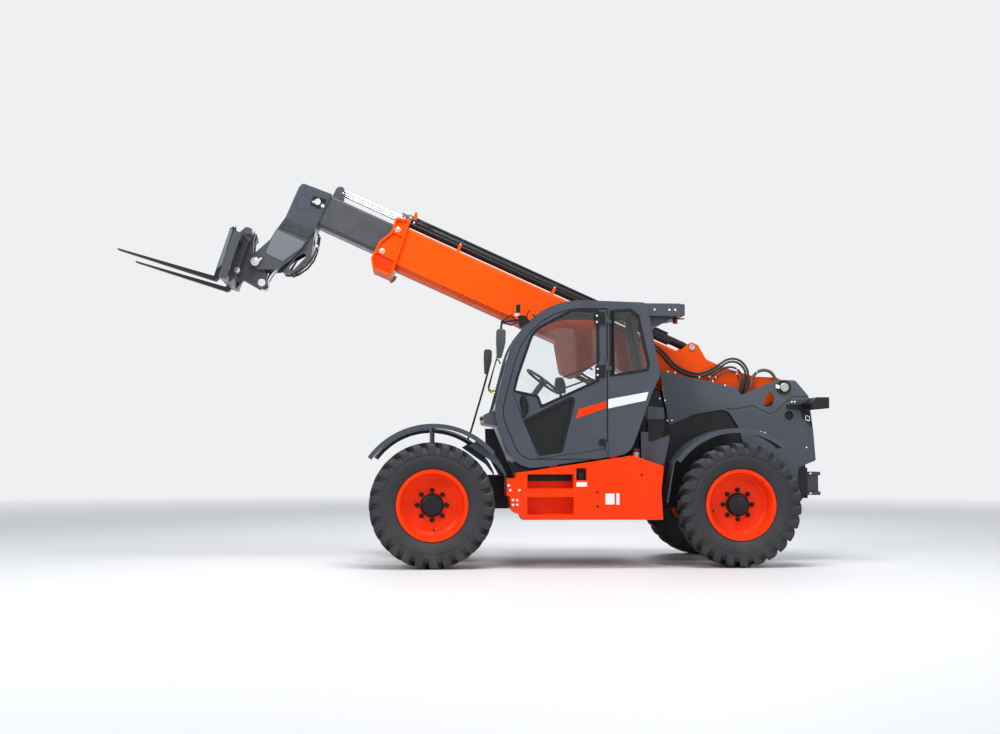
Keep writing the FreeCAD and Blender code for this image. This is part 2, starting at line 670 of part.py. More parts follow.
def engine_tray():
    tray = plate([(-345, 620, 60), (-345, 900), (-1750, 900), (-1750, 480, 30), (-465, 480, 60)], -1110, -TRAY_IN_Y)
    hollow = plate([(-357, 626, 50), (-357, 950), (-1738, 950), (-1738, 492, 20), (-470, 492, 50)],
                   -1098, -TRAY_IN_Y - 12)
    wall = box(-1738, -357, -TRAY_IN_Y - 12, -TRAY_IN_Y, 880, HOOD_HINGE[1] - 14).common(hood_room(13))
    return fuse(tray.cut(hollow), wall, *hood_hinges(-1))


def engine_hood():
    hood = hood_room(0).cut(hood_room(10)).common(box(-2000, 0, -1200, -TRAY_IN_Y, 902, 1600))
    y, z = HOOD_HINGE
    for x in HOOD_HINGE_X:
        hood = hood.cut(box(x - HINGE_HALF - 6, x, -TRAY_IN_Y - 18, -TRAY_IN_Y + 1, z - 20, z + 5))
    hood = fuse(hood, *hood_hinges(1))
    for x in HOOD_HINGE_X:
        hood = hood.cut(rod((x - 5, y, z), (x + HINGE_HALF + 5, y, z), HINGE_PIN_R + RUN_FIT))
    return hood


def engine_block():
    return box(-1500, -750, -900, -480, 492, 1250)


# The boom and what it carries

def collar():
    """The thick ring at the boom's mouth: two flanges with a sunk web and ribs between them."""
    outline = [(4230, -632), (4296, -5, 20), (4448, -47, 20), (4426, -202, 40), (4496, -340, 40),
               (4505, -547, 40), (4447, -635, 20)]
    ring = plate(outline, -230, 230)
    sunk = plate(inset(outline, 24), 208, 240)
    for n in (-197, -462):
        sunk = sunk.cut(box(4200, 4600, 200, 250, n - 8, n + 8))
    ring = ring.cut(sunk).cut(mirror(sunk))
    ring = ring.cut(box(4200, 4600, -INNER_HALF_W - 12, INNER_HALF_W + 12, INNER_LOW_N - 12, INNER_TOP_N + 12))
    ring = ring.cut(outer_beam(4200, BOOM_END_S))
    pads = box(4380, 4440, -INNER_HALF_W - 12, INNER_HALF_W + 12, INNER_LOW_N - 12, INNER_TOP_N + 12)
    return [ring, pads.cut(inner_beam(4300, 4500, -RUN_FIT))]


def boom_outer():
    cheek = plate([(-90, -60, 60), (-90, 80, 60), (80, 90, 60), (300, 0, 60), (560, -35, 60), (724, -46, 60),
                   (843, -48, 60), (985, 56, 30), (1066, 56, 40), (1158, -109, 30), (1500, -200), (1300, -400),
                   (560, BOOM_LOW_N), (300, BOOM_LOW_N), (-40, -200, 60)], BOOM_HALF_W, BOOM_HALF_W + 16)
    solids = [outer_beam(300, BOOM_END_S), cheek, mirror(cheek), cross(0, 0, 85, -BOOM_HALF_W - 16, BOOM_HALF_W + 16),
              cross(EXT_REAR[0], EXT_REAR[1], 30, -BOOM_HALF_W - 16, BOOM_HALF_W + 16)]
    lug_side = plate([(LIFT_PIN[0] - 260, BOOM_LOW_N), (LIFT_PIN[0] - 70, LIFT_PIN[1] - 75, 60),
                      (LIFT_PIN[0] + 70, LIFT_PIN[1] - 75, 60), (LIFT_PIN[0] + 260, BOOM_LOW_N)], 70, 100)
    solids += [lug_side, mirror(lug_side)]
    for y in (100, -112):
        solids.append(cross(LIFT_PIN[0], LIFT_PIN[1], 55, y, y + 12))
    lane = HOSES["hose_long_upper"][1]
    solids.append(box(HOSE_BLOCK_S, HOSE_BLOCK_S + 60, BOOM_HALF_W - 1, lane + 16, -190, -112))
    for s in (1500, 2600, 3700):
        solids.append(box(s, s + 30, -FEED_Y - 26, FEED_Y + 26, BOOM_TOP_N - 4, FEED_N + FEED_R + 6))
    body = fuse(*solids).cut(outer_beam(200, BOOM_END_S + 10, BOOM_WALL))
    body = body.cut(box(250, LIFT_PIN[0] - 900, -LIFT_R - 25, LIFT_R + 25, BOOM_LOW_N - 10, BOOM_LOW_N + 40))
    body = body.cut(cross(0, 0, 45 + RUN_FIT, -400, 400))
    body = fuse(body, *collar())
    body = body.cut(rod((EXT_REAR[0] + 100, 0, EXT_REAR[1]), (4600, 0, EXT_REAR[1]), EXT_R))
    for pipe in feeds(EXT_REAR[0] + 100, 4600, FEED_R):
        body = body.cut(pipe)
    return on_boom(body)


def extension_barrel():
    s1 = 4340.0
    barrel = rod((EXT_REAR[0] + 60, 0, EXT_REAR[1]), (s1, 0, EXT_REAR[1]), EXT_R)
    bore = rod((EXT_REAR[0] + 200, 0, EXT_REAR[1]), (s1 + 10, 0, EXT_REAR[1]), EXT_ROD_R + RUN_FIT)
    eye = cross(EXT_REAR[0], EXT_REAR[1], 44, -40, 40)
    neck = box(EXT_REAR[0], EXT_REAR[0] + 80, -30, 30, EXT_REAR[1] - 35, EXT_REAR[1] + 35)
    body = fuse(barrel, eye, neck).cut(bore).cut(cross(EXT_REAR[0], EXT_REAR[1], 30, -100, 100))
    sleeves = []
    for sleeve, hole in zip(feeds(1250, s1, FEED_R), feeds(1300, s1 + 10, FEED_ROD_R + RUN_FIT)):
        sleeves.append(sleeve.cut(hole))
    line = rod((1300, 0, EXT_REAR[1] + EXT_R + 11), (s1, 0, EXT_REAR[1] + EXT_R + 11), 14)
    return on_boom(group(fuse(body, line), *sleeves))


def boom_inner():
    start = INNER_START_S
    shell = inner_beam(start, HEAD_S).cut(inner_beam(start - 10, HEAD_S - 20, INNER_WALL))
    lug_side = plate([(5178, INNER_TOP_N), (5160, 20, 30), (5109, 50, 40), (5075, 20, 30), (5031, INNER_TOP_N)], 25, 45)
    lug_side = lug_side.common(box(0, HEAD_S, 0, 100, -200, 200))
    pads = outer_beam(start, start + 80, BOOM_WALL + RUN_FIT).cut(inner_beam(start - 1, start + 90))
    pads = pads.cut(box(start - 1, start + 90, -LIFT_R - 25, LIFT_R + 25, BOOM_LOW_N, INNER_LOW_N))
    holder = box(5050, 5066, -FEED_Y - 20, FEED_Y + 20, INNER_TOP_N - 4, FEED_N + FEED_ROD_R + 8)
    for pipe in feeds(5000, 5200, FEED_ROD_R):
        holder = holder.cut(pipe)
    holder = holder.cut(cross(EXT_FRONT[0], EXT_FRONT[1], 70, -25.3, 25.3))
    body = fuse(shell, pads, lug_side, mirror(lug_side), holder,
                cross(EXT_FRONT[0], EXT_FRONT[1], 20, -45, 45))
    return on_boom(body)


def boom_head():
    upper = plate([(HEAD_S, -96), (5487, -118, 40), (5505, -175, 40), (5496, -539), (HEAD_S, -520)], -180, 180)
    slope = along_boom([(180, -525), (138, -652), (-138, -652), (-180, -525)], HEAD_S, 5600)
    slope = slope.common(plate([(HEAD_S, -520), (5497, -520), (5532, -663), (5198, -663)], -200, 200))
    neck = plate([(HEAD_S, -500), (5494, -500), (5532, -663), (5540, -760), (5220, -800), (5198, -680), (5114, -520, 20),
                  (HEAD_S, -470)], -138, 138)
    neck = neck.common(box(HEAD_S, 6000, -200, 200, -2000, 0))
    cheek = plate([(5185, -640, 20), (5530, -655, 20), (5545, -800), (5640, -1020, 60), (5643, -1135, 60),
                   (5520, -1140, 40), (5332, -1040, 40), (5220, -800)], 130, 165)
    face = plate([(5200, -668, 10), (5532, -672, 10), (5538, -762, 30), (5536, -940, 40), (5322, -962, 40),
                  (5200, -740, 20)], 165, 173)
    back = plate([(HEAD_S, -515), (5089, -790, 60), (5183, -1027, 60), (5275, -1065), (5285, -1040), (5205, -1005, 50),
                  (5113, -790, 50), (HEAD_S + 20, -560)], -130, 130)
    back = back.cut(box(5195, 5420, -62, 62, -1120, -975))
    wing = plate([(HEAD_S, -516), (5091, -790, 60), (5185, -1026, 60), (5276, -1062), (5284, -1040), (5250, -890),
                  (5210, -660), (HEAD_S + 10, -516)], 112, 128)
    wing = wing.cut(plate([(5172, -775, 16), (5132, -800, 16), (5198, -992, 16), (5244, -1002, 12), (5232, -860, 30)],
                          100, 140))
    body = fuse(upper, slope, neck, cheek, mirror(cheek), face, mirror(face), back, wing, mirror(wing))
    body = body.cut(box(5195, 5420, -60, 60, -700, -180))
    body = body.cut(plate([(5150, -700), (5420, -700), (5420, -500), (5195, -500), (5120, -640)], -60, 60))
    body = body.cut(plate([(5195, -830), (5420, -830), (5420, -690), (5195, -690)], -60, 60))
    pin = cross(TILT_BASE[0], TILT_BASE[1], 30, -195, 195)
    main = cross(CARRIAGE_PIN[0], CARRIAGE_PIN[1], 35, -185, 185)
    return on_boom(fuse(body, pin, main))


def extension_rod():
    start = EXT_REAR[0] + 1100
    shaft = rod((start, 0, EXT_REAR[1]), (EXT_FRONT[0] - 36, 0, EXT_REAR[1]), EXT_ROD_R)
    eye = cross(EXT_FRONT[0], EXT_FRONT[1], 38, -25, 25)
    body = fuse(shaft, eye).cut(cross(EXT_FRONT[0], EXT_FRONT[1], 20, -50, 50))
    return on_boom(group(body, *feeds(2300, 5080, FEED_ROD_R)))


def carriage():
    hitch = plate([(-60, 40, 30), (60, 90), (100, 240, 40), (100, 318, 44), (188, 318, 44), (190, 150), (180, -190),
                   (60, -210, 30), (-110, -245, 45), (-190, -215, 45), (-150, -100, 30)], 75, 115)
    pin_low = cross(-144, -193, 40, 115, 125)
    lock = cross(132, -153, 26, -260, 260)
    top_bar = cross(144, 263, 32, -330, 330)
    rear = box(170, 250, -CARRIAGE_HALF_W, CARRIAGE_HALF_W, 130, 205)
    low = box(170, 250, -CARRIAGE_HALF_W, CARRIAGE_HALF_W, -300, -225)
    sides = box(170, 250, CARRIAGE_HALF_W - 30, CARRIAGE_HALF_W, -300, 205)
    mids = plate([(120, -200, 30), (170, -300), (250, -300), (250, 205), (190, 310, 40), (105, 310, 40), (120, 100)],
                 235, 260)
    body = fuse(hitch, mirror(hitch), pin_low, mirror(pin_low), lock, top_bar, rear, low,
                sides, mirror(sides), mids, mirror(mids))
    body = body.cut(cross(0, 0, 35 + RUN_FIT, -400, 400))
    return on_carriage(body)


def forks():
    w_low = -345.0
    blade = plate([(FORK_FACE_U - FORK_T, w_low + 30, 25), (FORK_FACE_U - FORK_T, 225, 8), (FORK_FACE_U, 225, 8),
                   (FORK_FACE_U, w_low + FORK_T, 10), (FORK_TIP_U, w_low + 14), (FORK_TIP_U, w_low + 2),
                   (FORK_FACE_U + 300, w_low), (FORK_FACE_U - FORK_T + 20, w_low, 20)],
                  FORK_Y - FORK_W / 2, FORK_Y + FORK_W / 2)
    return on_carriage(both(blade))


# Cylinders between the frame, the boom and the carriage

def cylinder(base, tip, r_out, r_rod, eye_r, pin_r, barrel_end, rod_start, half):
    """Barrel and rod between two pins in XZ; lengths measured from the base pin."""
    length = math.hypot(tip[0] - base[0], tip[1] - base[1])
    angle = math.degrees(math.atan2(tip[1] - base[1], tip[0] - base[0]))
    barrel = fuse(rod((eye_r * 0.7, 0, 0), (barrel_end, 0, 0), r_out), cross(0, 0, eye_r, -half, half))
    barrel = barrel.cut(rod((eye_r + 40, 0, 0), (barrel_end + 10, 0, 0), r_rod + RUN_FIT))
    barrel = barrel.cut(cross(0, 0, pin_r + RUN_FIT, -200, 200))
    shaft = fuse(rod((rod_start, 0, 0), (length - eye_r * 0.7, 0, 0), r_rod), cross(length, 0, eye_r, -half, half))
    out = []
    for shape in (barrel, shaft):
        shape.rotate(V(0, 0, 0), V(0, 1, 0), -angle)
        shape.translate(V(base[0], 0, base[1]))
        out.append(shape)
    return out


def lift_cylinder():
    return cylinder(LIFT_BASE, boom_xz(*LIFT_PIN), LIFT_R, 45, 68, 35, 1680, 800, 64)


def tilt_cylinder():
    return cylinder(boom_xz(*TILT_BASE), boom_xz(*TILT_EYE), 48, 28, 56, 30, 620, 420, 50)


def lamps():
    """Light bars at the rear, the beacon under the roof box and the small lamp on the cowl."""
    arm = box(-3450, -3400, FRAME_Y + PLATE_T, 560, 1600, 1650)
    light = plate([(-3395, 1640), (-3440, 1699), (-3577, 1699), (-3577, 1587), (-3420, 1573), (-3395, 1590)], 480, 720)
    bracket = box(-3462, -3240, FRAME_Y + PLATE_T, FRAME_Y + PLATE_T + 8, 1590, 1640)
    beacon = fuse(box(-2068, -1944, 780, 830, 2480, 2488), Part.makeCylinder(24, 44, V(-1974, 805, 2436)))
    marker = rod((-22, 800, 1471), (6, 800, 1471), 20).cut(front_cowl())
    return group(both(fuse(arm, light, bracket)), beacon, marker)


def mirrors():
    head = box(-221, -150, 1110, 1200, 2040, 2328)
    arm = fuse(rod((-420, 1060, 2440), (-190, 1150, 2400), 12), rod((-190, 1150, 2400), (-190, 1150, 2300), 12))
    left = fuse(head, arm).cut(plate(CAB, CAB_IN_Y, CAB_OUT_Y))
    stalk = rod((60, -1060, 1260), (-190, -1150, 2060), 14).cut(cross(470, TYRE_R + 9, TYRE_R + 169, -1300, -600))
    return group(left, fuse(mirror(head), stalk))


def front_cowl():
    cowl = plate([(-20, 1416, 30), (-20, 1500, 30), (-110, 1540, 20), (-200, 1520), (-200, 1380)], 330, 1040)
    return cowl.cut(plate(CAB, 200, 1200))


def nodes():
    lift_barrel, lift_rod = lift_cylinder()
    tilt_barrel, tilt_rod = tilt_cylinder()
    table = {name: hose(name) for name in HOSES}
    table.update({
        "chassis_frame": chassis_frame(), "side_plates": side_plates(), "counterweight": counterweight(),
        "front_axle": axle(FRONT_AXLE_X), "rear_axle": axle(REAR_AXLE_X), "step_tank": step_tank(),
        "engine_block": engine_block(), "engine_tray": engine_tray(), "front_fenders": front_fenders(),
        "rear_fenders": rear_fenders(), "cab_frame": cab_frame(), "cab_roof": cab_roof(), "cab_glass": cab_glass(),
        "seat": seat(), "dashboard": dashboard(), "front_cowl": front_cowl(), "side_gear": side_gear(),
        "lamps": lamps(), "mirrors": mirrors(), "door_panel": door_panel(), "door_glass": door_glass(),
        "engine_hood": engine_hood(), "boom_outer": boom_outer(), "extension_barrel": extension_barrel(),
        "boom_inner": boom_inner(), "boom_head": boom_head(), "extension_rod": extension_rod(),
        "carriage": carriage(), "forks": forks(), "lift_barrel": lift_barrel, "lift_rod": lift_rod,
        "tilt_barrel": tilt_barrel, "tilt_rod": tilt_rod,
    })
    plain_tyre, plain_rim = tyre(), rim()
    for end, x in (("front", FRONT_AXLE_X), ("rear", REAR_AXLE_X)):
        for name, side in (("left", 1), ("right", -1)):
            table["tyre_%s_%s" % (end, name)] = at_wheel(plain_tyre, x, side)
            table["rim_%s_%s" % (end, name)] = at_wheel(plain_rim, x, side)
            table["knuckle_%s_%s" % (end, name)] = knuckle(x, side)
    return table


def main():
    os.makedirs("parts", exist_ok=True)
    for name, shape in nodes().items():
        shape.exportStep("parts/%s.step" % name)
        print(name, len(shape.Solids), "solids", round(shape.Volume / 1e6, 2), "litres")


if __name__ == "__main__":
    main()
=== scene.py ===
import math

import bmesh
import bpy
from mathutils import Matrix, Vector


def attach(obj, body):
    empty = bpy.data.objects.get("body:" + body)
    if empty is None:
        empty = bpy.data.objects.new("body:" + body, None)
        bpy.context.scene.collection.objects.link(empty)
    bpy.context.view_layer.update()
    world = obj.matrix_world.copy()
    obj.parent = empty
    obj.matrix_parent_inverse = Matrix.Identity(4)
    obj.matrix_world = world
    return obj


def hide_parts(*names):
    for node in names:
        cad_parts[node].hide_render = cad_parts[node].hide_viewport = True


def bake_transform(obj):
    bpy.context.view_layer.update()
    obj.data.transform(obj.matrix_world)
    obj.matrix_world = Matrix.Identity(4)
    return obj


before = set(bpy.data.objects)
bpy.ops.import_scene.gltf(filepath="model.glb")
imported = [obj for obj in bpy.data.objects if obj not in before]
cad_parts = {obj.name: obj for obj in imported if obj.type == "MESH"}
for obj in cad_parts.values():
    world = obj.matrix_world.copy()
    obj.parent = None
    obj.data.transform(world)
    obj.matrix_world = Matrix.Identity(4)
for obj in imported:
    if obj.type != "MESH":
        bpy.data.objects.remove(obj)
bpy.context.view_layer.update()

# %% [markdown]
# A telehandler is a truck with a long arm. The rigid shapes come from the imported model, already in metres and in
# their places, so this script adds finish, rubber, hoses and small fittings on top.

# %% [markdown]
# The camera stands about fourteen metres to the left of the machine's middle, one metre above the ground, and looks
# up by four degrees. It could be placed with a track constraint, but three plain vectors say the same and never move.

# %% The camera
IMAGE_WIDTH_PX = 1000.0
FOCAL_PX = 1290.7
SENSOR_MM = 36.0
EYE = Vector((0.6378, 13.668, 1.052))
TURN, RISE = 0.0648, 0.0724


def new_object(name, data):
    """Puts a mesh, a curve, a lamp or a camera into the scene."""
    made = bpy.data.objects.new(name, data)
    bpy.context.scene.collection.objects.link(made)
    return made


look = Vector((-math.sin(TURN) * math.cos(RISE), -math.cos(TURN) * math.cos(RISE), math.sin(RISE)))
right = Vector((-math.cos(TURN), math.sin(TURN), 0.0))
above = right.cross(look)
camera_data = bpy.data.cameras.new("side_camera")
camera_data.sensor_width = SENSOR_MM
camera_data.lens = FOCAL_PX * SENSOR_MM / IMAGE_WIDTH_PX
camera = new_object("side_camera", camera_data)
camera.matrix_world = Matrix.Translation(EYE) @ Matrix((right, above, -look)).transposed().to_4x4()
bpy.context.scene.camera = camera
print("camera lens", round(camera_data.lens, 2), "mm")

# %% [markdown]
# A finish is a small network of nodes. Every one here starts from the place of the point on the machine in metres,
# so that a grain of two millimetres stays two millimetres on a large panel and on a small bolt. The helpers below
# add one node and join its inputs, which keeps each finish down to a few lines.

# %% A helper for shader nodes
def rgba(colour, tone=1.0):
    """A colour made lighter or darker, with the fourth value that sockets want."""
    return (*(c * tone for c in colour), 1.0)


class Network:
    """A tree of shader nodes, with short ways to add to it."""

    def __init__(self, tree):
        self.tree = tree

    def put(self, socket, value):
        if isinstance(value, bpy.types.NodeSocket):
            self.tree.links.new(value, socket)
        else:
            socket.default_value = value

    def add(self, kind, output=0, settings=None, **inputs):
        """A new node; i3=... sets its input number 3, and Scale=... the one with that name."""
        node = self.tree.nodes.new("ShaderNode" + kind)
        for key, value in (settings or {}).items():
            setattr(node, key, value)
        for key, value in inputs.items():
            self.put(node.inputs[int(key[1:]) if key[1:].isdigit() else key], value)
        return node.outputs[output]

    def combine(self, operation, first, second):
        return self.add("Math", settings={"operation": operation}, i0=first, i1=second)

    def times(self, first, second):
        return self.combine("MULTIPLY", first, second)

    def looked_at(self):
        """1 for rays from the camera, a mirror or a pane, 0 for rays that only carry light."""
        rays = self.tree.nodes.new("ShaderNodeLightPath").outputs
        first = self.combine("MAXIMUM", rays["Is Camera Ray"], rays["Is Glossy Ray"])
        return self.combine("MAXIMUM", first, rays["Is Transmission Ray"])


class Finish(Network):
    """One material under construction: its node tree, its shader and the place of each point."""

    def __init__(self, name, colour, rough, metal=0.0, coat=0.0):
        self.material = bpy.data.materials.new(name)
        self.material.use_nodes = True
        super().__init__(self.material.node_tree)
        self.shader = self.tree.nodes["Principled BSDF"]
        for socket, value in (("Base Color", rgba(colour)), ("Roughness", rough), ("Metallic", metal),
                              ("Coat Weight", coat), ("Coat Roughness", 0.06)):
            self.shader.inputs[socket].default_value = value
        self.place = self.tree.nodes.new("ShaderNodeTexCoord").outputs["Object"]

    def noise(self, scale, detail=3.0, stretch=None):
        where = self.add("Mapping", Vector=self.place, Scale=stretch) if stretch else self.place
        return self.add("TexNoise", Vector=where, Scale=scale, Detail=detail)

    def between(self, value, low, high, out_low=0.0, out_high=1.0):
        return self.add("MapRange", settings={"clamp": True}, Value=value, i1=low, i2=high, i3=out_low, i4=out_high)

    def mix(self, amount, first, second):
        return self.add("Mix", 2, {"data_type": "RGBA"}, i0=amount, i6=first, i7=second)

    def bump(self, height, strength, depth):
        return self.add("Bump", Strength=strength, Distance=depth, Height=height)

    def upward(self):
        """Near 1 on surfaces that face the sky, 0 on walls and undersides."""
        normal = self.tree.nodes.new("ShaderNodeNewGeometry").outputs["Normal"]
        return self.between(self.add("SeparateXYZ", 2, Vector=normal), 0.25, 0.95)

    def dusty(self, base, dust, amount, low=0.0, high=0.9):
        """Lays dust over a colour: on top faces, and low down where the wheels throw it."""
        height = self.add("SeparateXYZ", 2, Vector=self.place)
        splash = self.times(self.between(height, low, high, 1.0, 0.0), self.between(self.noise(5.0), 0.4, 0.7))
        settled = self.times(self.upward(), self.between(self.noise(2.2, 5.0), 0.35, 0.75, 0.2, 1.0))
        return self.mix(self.times(self.combine("MAXIMUM", splash, settled), amount), base, rgba(dust))

    def close(self, colour=None, rough=None, normal=None):
        for name, value in (("Base Color", colour), ("Roughness", rough), ("Normal", normal)):
            if value is not None:
                self.put(self.shader.inputs[name], value)
        return self.material


DUST = (0.30, 0.27, 0.23)
print("finish helper ready")

# %% [markdown]
# The body panels are steel under gloss paint. A plain glossy shader looks like wet plastic, so the paint gets three
# things that real paint has: a slight change of tone over half a metre, the fine waviness of sprayed paint, and a
# clear coat whose shine is a little uneven where hands and cloths have been.

# %% Paints
def gloss_paint(name, colour, rough=0.40, coat=0.2, dust=0.10, shine=0.5, tone=0.88, peel=0.10):
    paint = Finish(name, colour, rough, coat=coat)
    paint.shader.inputs["Specular IOR Level"].default_value = shine
    base = paint.mix(paint.between(paint.noise(1.7, 4.0), 0.35, 0.65), rgba(colour), rgba(colour, tone))
    uneven = paint.between(paint.noise(9.0, 6.0), 0.3, 0.7, rough * 0.8, rough * 1.25)
    return paint.close(paint.dusty(base, DUST, dust), uneven, paint.bump(paint.noise(420.0, 2.0), peel, 0.0004))


slate = gloss_paint("slate_paint", (0.048, 0.057, 0.075), rough=0.34, coat=0.16, shine=0.35)
orange = gloss_paint("orange_paint", (0.94, 0.040, 0.0005), coat=0.0, dust=0.02, shine=0.14)
boom_orange = gloss_paint("boom_orange_paint", (0.93, 0.082, 0.0005), coat=0.0, dust=0.02, shine=0.12)
charcoal = gloss_paint("charcoal_paint", (0.043, 0.046, 0.053), rough=0.38, coat=0.25, dust=0.12)
black = gloss_paint("black_satin_paint", (0.007, 0.007, 0.009), rough=0.45, coat=0.03, dust=0.03, shine=0.25)
light_grey = gloss_paint("light_grey_paint", (0.13, 0.145, 0.17), rough=0.38, dust=0.08)
white = gloss_paint("white_paint", (0.80, 0.81, 0.82))
print("paints", slate.name, orange.name, charcoal.name, black.name, light_grey.name)

# %% [markdown]
# Castings such as the axles are painted too, but the sand mould leaves a pitted skin that shows through the paint.
# Turned and plated parts are the other way round: very smooth, with fine rings or scratches along one direction.

# %% Castings and bare metal
def casting(name, colour, rough=0.55, pits=0.35):
    skin = Finish(name, colour, rough)
    cells = skin.add("TexVoronoi", Vector=skin.place, Scale=260.0)
    grain = skin.combine("ADD", cells, skin.noise(90.0, 5.0))
    uneven = skin.between(skin.noise(30.0), 0.3, 0.7, rough * 0.85, rough * 1.15)
    return skin.close(skin.dusty(rgba(colour), DUST, 0.35), uneven, skin.bump(grain, pits, 0.0008))


def bare_metal(name, colour, rough, scratches=0.15, stretch=(1.0, 40.0, 1.0)):
    metal = Finish(name, colour, rough, metal=1.0)
    fine = metal.noise(60.0, 4.0, stretch)
    uneven = metal.between(fine, 0.3, 0.7, rough * 0.7, rough * 1.5)
    base = metal.mix(metal.between(metal.noise(14.0), 0.45, 0.75, 0.0, 0.35), rgba(colour), rgba(colour, 0.72))
    return metal.close(base, uneven, metal.bump(fine, scratches, 0.0002))


iron = casting("painted_casting", (0.05, 0.052, 0.056))
chrome = bare_metal("polished_chrome", (0.78, 0.79, 0.81), 0.07, 0.05)
zinc = bare_metal("plated_zinc", (0.72, 0.72, 0.70), 0.28)
steel = bare_metal("worn_steel", (0.36, 0.355, 0.35), 0.42, 0.3)
print("metals", iron.name, chrome.name, zinc.name, steel.name)

# %% [markdown]
# Tyre rubber is never black: it is a dark grey that goes browner where dust has been rubbed in, with a dry, matt
# surface. Valve stems are the same rubber almost without dust, and the covers of the hoses have a coarser grain.

# %% Rubber, plastic and cloth
def rubber(name, colour, rough, dust, grain=0.3):
    skin = Finish(name, colour, rough)
    patches = skin.between(skin.noise(6.0, 6.0), 0.38, 0.72)
    base = skin.mix(skin.times(patches, 0.5), rgba(colour), rgba(colour, 1.45))
    base = skin.dusty(base, (0.21, 0.19, 0.165), dust, 0.0, 0.5)
    return skin.close(base, skin.between(patches, 0.0, 1.0, rough * 0.92, rough * 1.08),
                      skin.bump(skin.noise(520.0, 3.0), grain, 0.0004))


def moulded(name, colour, rough=0.5, grain=0.35):
    skin = Finish(name, colour, rough)
    cells = skin.add("TexVoronoi", settings={"feature": "SMOOTH_F1"}, Vector=skin.place, Scale=620.0)
    uneven = skin.between(skin.noise(25.0), 0.3, 0.7, rough * 0.85, rough * 1.1)
    return skin.close(skin.dusty(rgba(colour), DUST, 0.10), uneven, skin.bump(cells, grain, 0.0004))


def woven(name, colour, second):
    cloth = Finish(name, colour, 0.85)
    cloth.shader.inputs["Sheen Weight"].default_value = 0.25
    along, across = (cloth.add("TexWave", 1, {"bands_direction": way}, Vector=cloth.place, Scale=160.0)
                     for way in ("X", "Z"))
    thread = cloth.times(along, across)
    return cloth.close(cloth.mix(thread, rgba(second), rgba(colour)), None, cloth.bump(thread, 0.5, 0.0006))


tyre_rubber = rubber("tyre_rubber", (0.017, 0.018, 0.021), 0.78, 0.20)
seal_rubber = rubber("seal_rubber", (0.012, 0.012, 0.013), 0.55, 0.05)
hose_rubber = rubber("hose_cover", (0.016, 0.016, 0.017), 0.48, 0.08, 0.5)
return_rubber = rubber("return_hose_cover", (0.075, 0.062, 0.050), 0.6, 0.15, 0.5)
rubber_bellows = rubber("rubber_bellows", (0.018, 0.018, 0.019), 0.6, 0.2)
plastic = moulded("grained_plastic", (0.035, 0.036, 0.039))
seat_cloth = woven("seat_cloth", (0.045, 0.046, 0.05), (0.022, 0.022, 0.025))
print("soft finishes", tyre_rubber.name, seal_rubber.name, hose_rubber.name, plastic.name, seat_cloth.name)

# %% [markdown]
# Cab glass is laminated and faintly tinted. A pane has real thickness in the model, so the shader bends light the
# right way; the tint is kept weak because each look through the cab passes two panes. Lamp lenses are tinted more
# and have a ribbed face, which a wave pattern gives as bump. The red and amber ones also give off a faint painted
# glow in their own tint, though no lamp behind them is lit.

# %% Glass and lenses
def clear(name, tint, rough=0.01, ribs=0.0, glow=0.0):
    pane = Finish(name, tint, rough)
    # Emission in the tint, as strong as glow: a painted glow, because nothing lights the lens from behind.
    for socket, value in (("Transmission Weight", 1.0), ("IOR", 1.45), ("Emission Color", rgba(tint)),
                          ("Emission Strength", glow)):
        pane.shader.inputs[socket].default_value = value
    smears = pane.between(pane.noise(3.0, 5.0, (1.0, 1.0, 0.4)), 0.45, 0.8, rough, rough + 0.05)
    normal = None
    if ribs:
        waves = pane.add("TexWave", 1, {"bands_direction": "X"}, Vector=pane.place, Scale=ribs)
        normal = pane.bump(waves, 0.5, 0.001)
    return pane.close(None, smears, normal)


cab_pane = clear("cab_glass", (0.95, 0.968, 0.968))
mirror_glass = bare_metal("mirror_glass", (0.80, 0.83, 0.86), 0.03, 0.0)
# The red and amber lenses get a faint painted glow.
red_lens = clear("red_lens", (0.75, 0.02, 0.015), 0.12, 60.0, 0.08)
amber_lens = clear("amber_lens", (0.95, 0.32, 0.02), 0.12, 60.0, 0.10)
marker_lens = clear("marker_lens", (0.62, 0.80, 0.06), 0.12, ribs=0.6)
clear_lens = clear("clear_lens", (0.88, 0.90, 0.92), 0.05, 45.0)
print("glass", cab_pane.name, red_lens.name, amber_lens.name, clear_lens.name)

# %% [markdown]
# Each solid of the model gets its finish by filling its material slot. The list goes by finish, because a paint
# shop works that way too: everything orange is sprayed in one go.

# %% Painting the model's own pieces
WHEELS = ["front_left", "front_right", "rear_left", "rear_right"]
finish_of = {
    slate: ["cab_frame", "cab_roof", "door_panel", "side_plates", "engine_hood", "front_cowl", "rear_fenders",
            "front_fenders", "counterweight", "engine_tray"],
    orange: ["step_tank"] + ["rim_" + w for w in WHEELS],
    boom_orange: ["boom_outer"],
    charcoal: ["boom_inner", "boom_head", "carriage", "side_gear"],
    black: ["extension_barrel", "tilt_barrel", "lift_barrel", "forks", "lamps", "chassis_frame"],
    iron: ["front_axle", "rear_axle", "engine_block"] + ["knuckle_" + w for w in WHEELS],
    chrome: ["extension_rod", "tilt_rod", "lift_rod"],
    plastic: ["dashboard", "mirrors"],
    cab_pane: ["cab_glass", "door_glass"],
    seat_cloth: ["seat"],
    tyre_rubber: ["tyre_" + w for w in WHEELS],
}
for finish, nodes in finish_of.items():
    for node in nodes:
        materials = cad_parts[node].data.materials
        materials.clear()
        materials.append(finish)
print("painted", sum(len(nodes) for nodes in finish_of.values()), "of", len(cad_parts), "nodes")

# %% [markdown]
# The yard is left out. A pale floor runs out to the horizon, where it turns into the colour of the backdrop, so no
# edge shows. The backdrop colour is only what the camera, mirrors and glass see; the light itself comes weaker from
# the sky and stronger from a few large soft lamps.

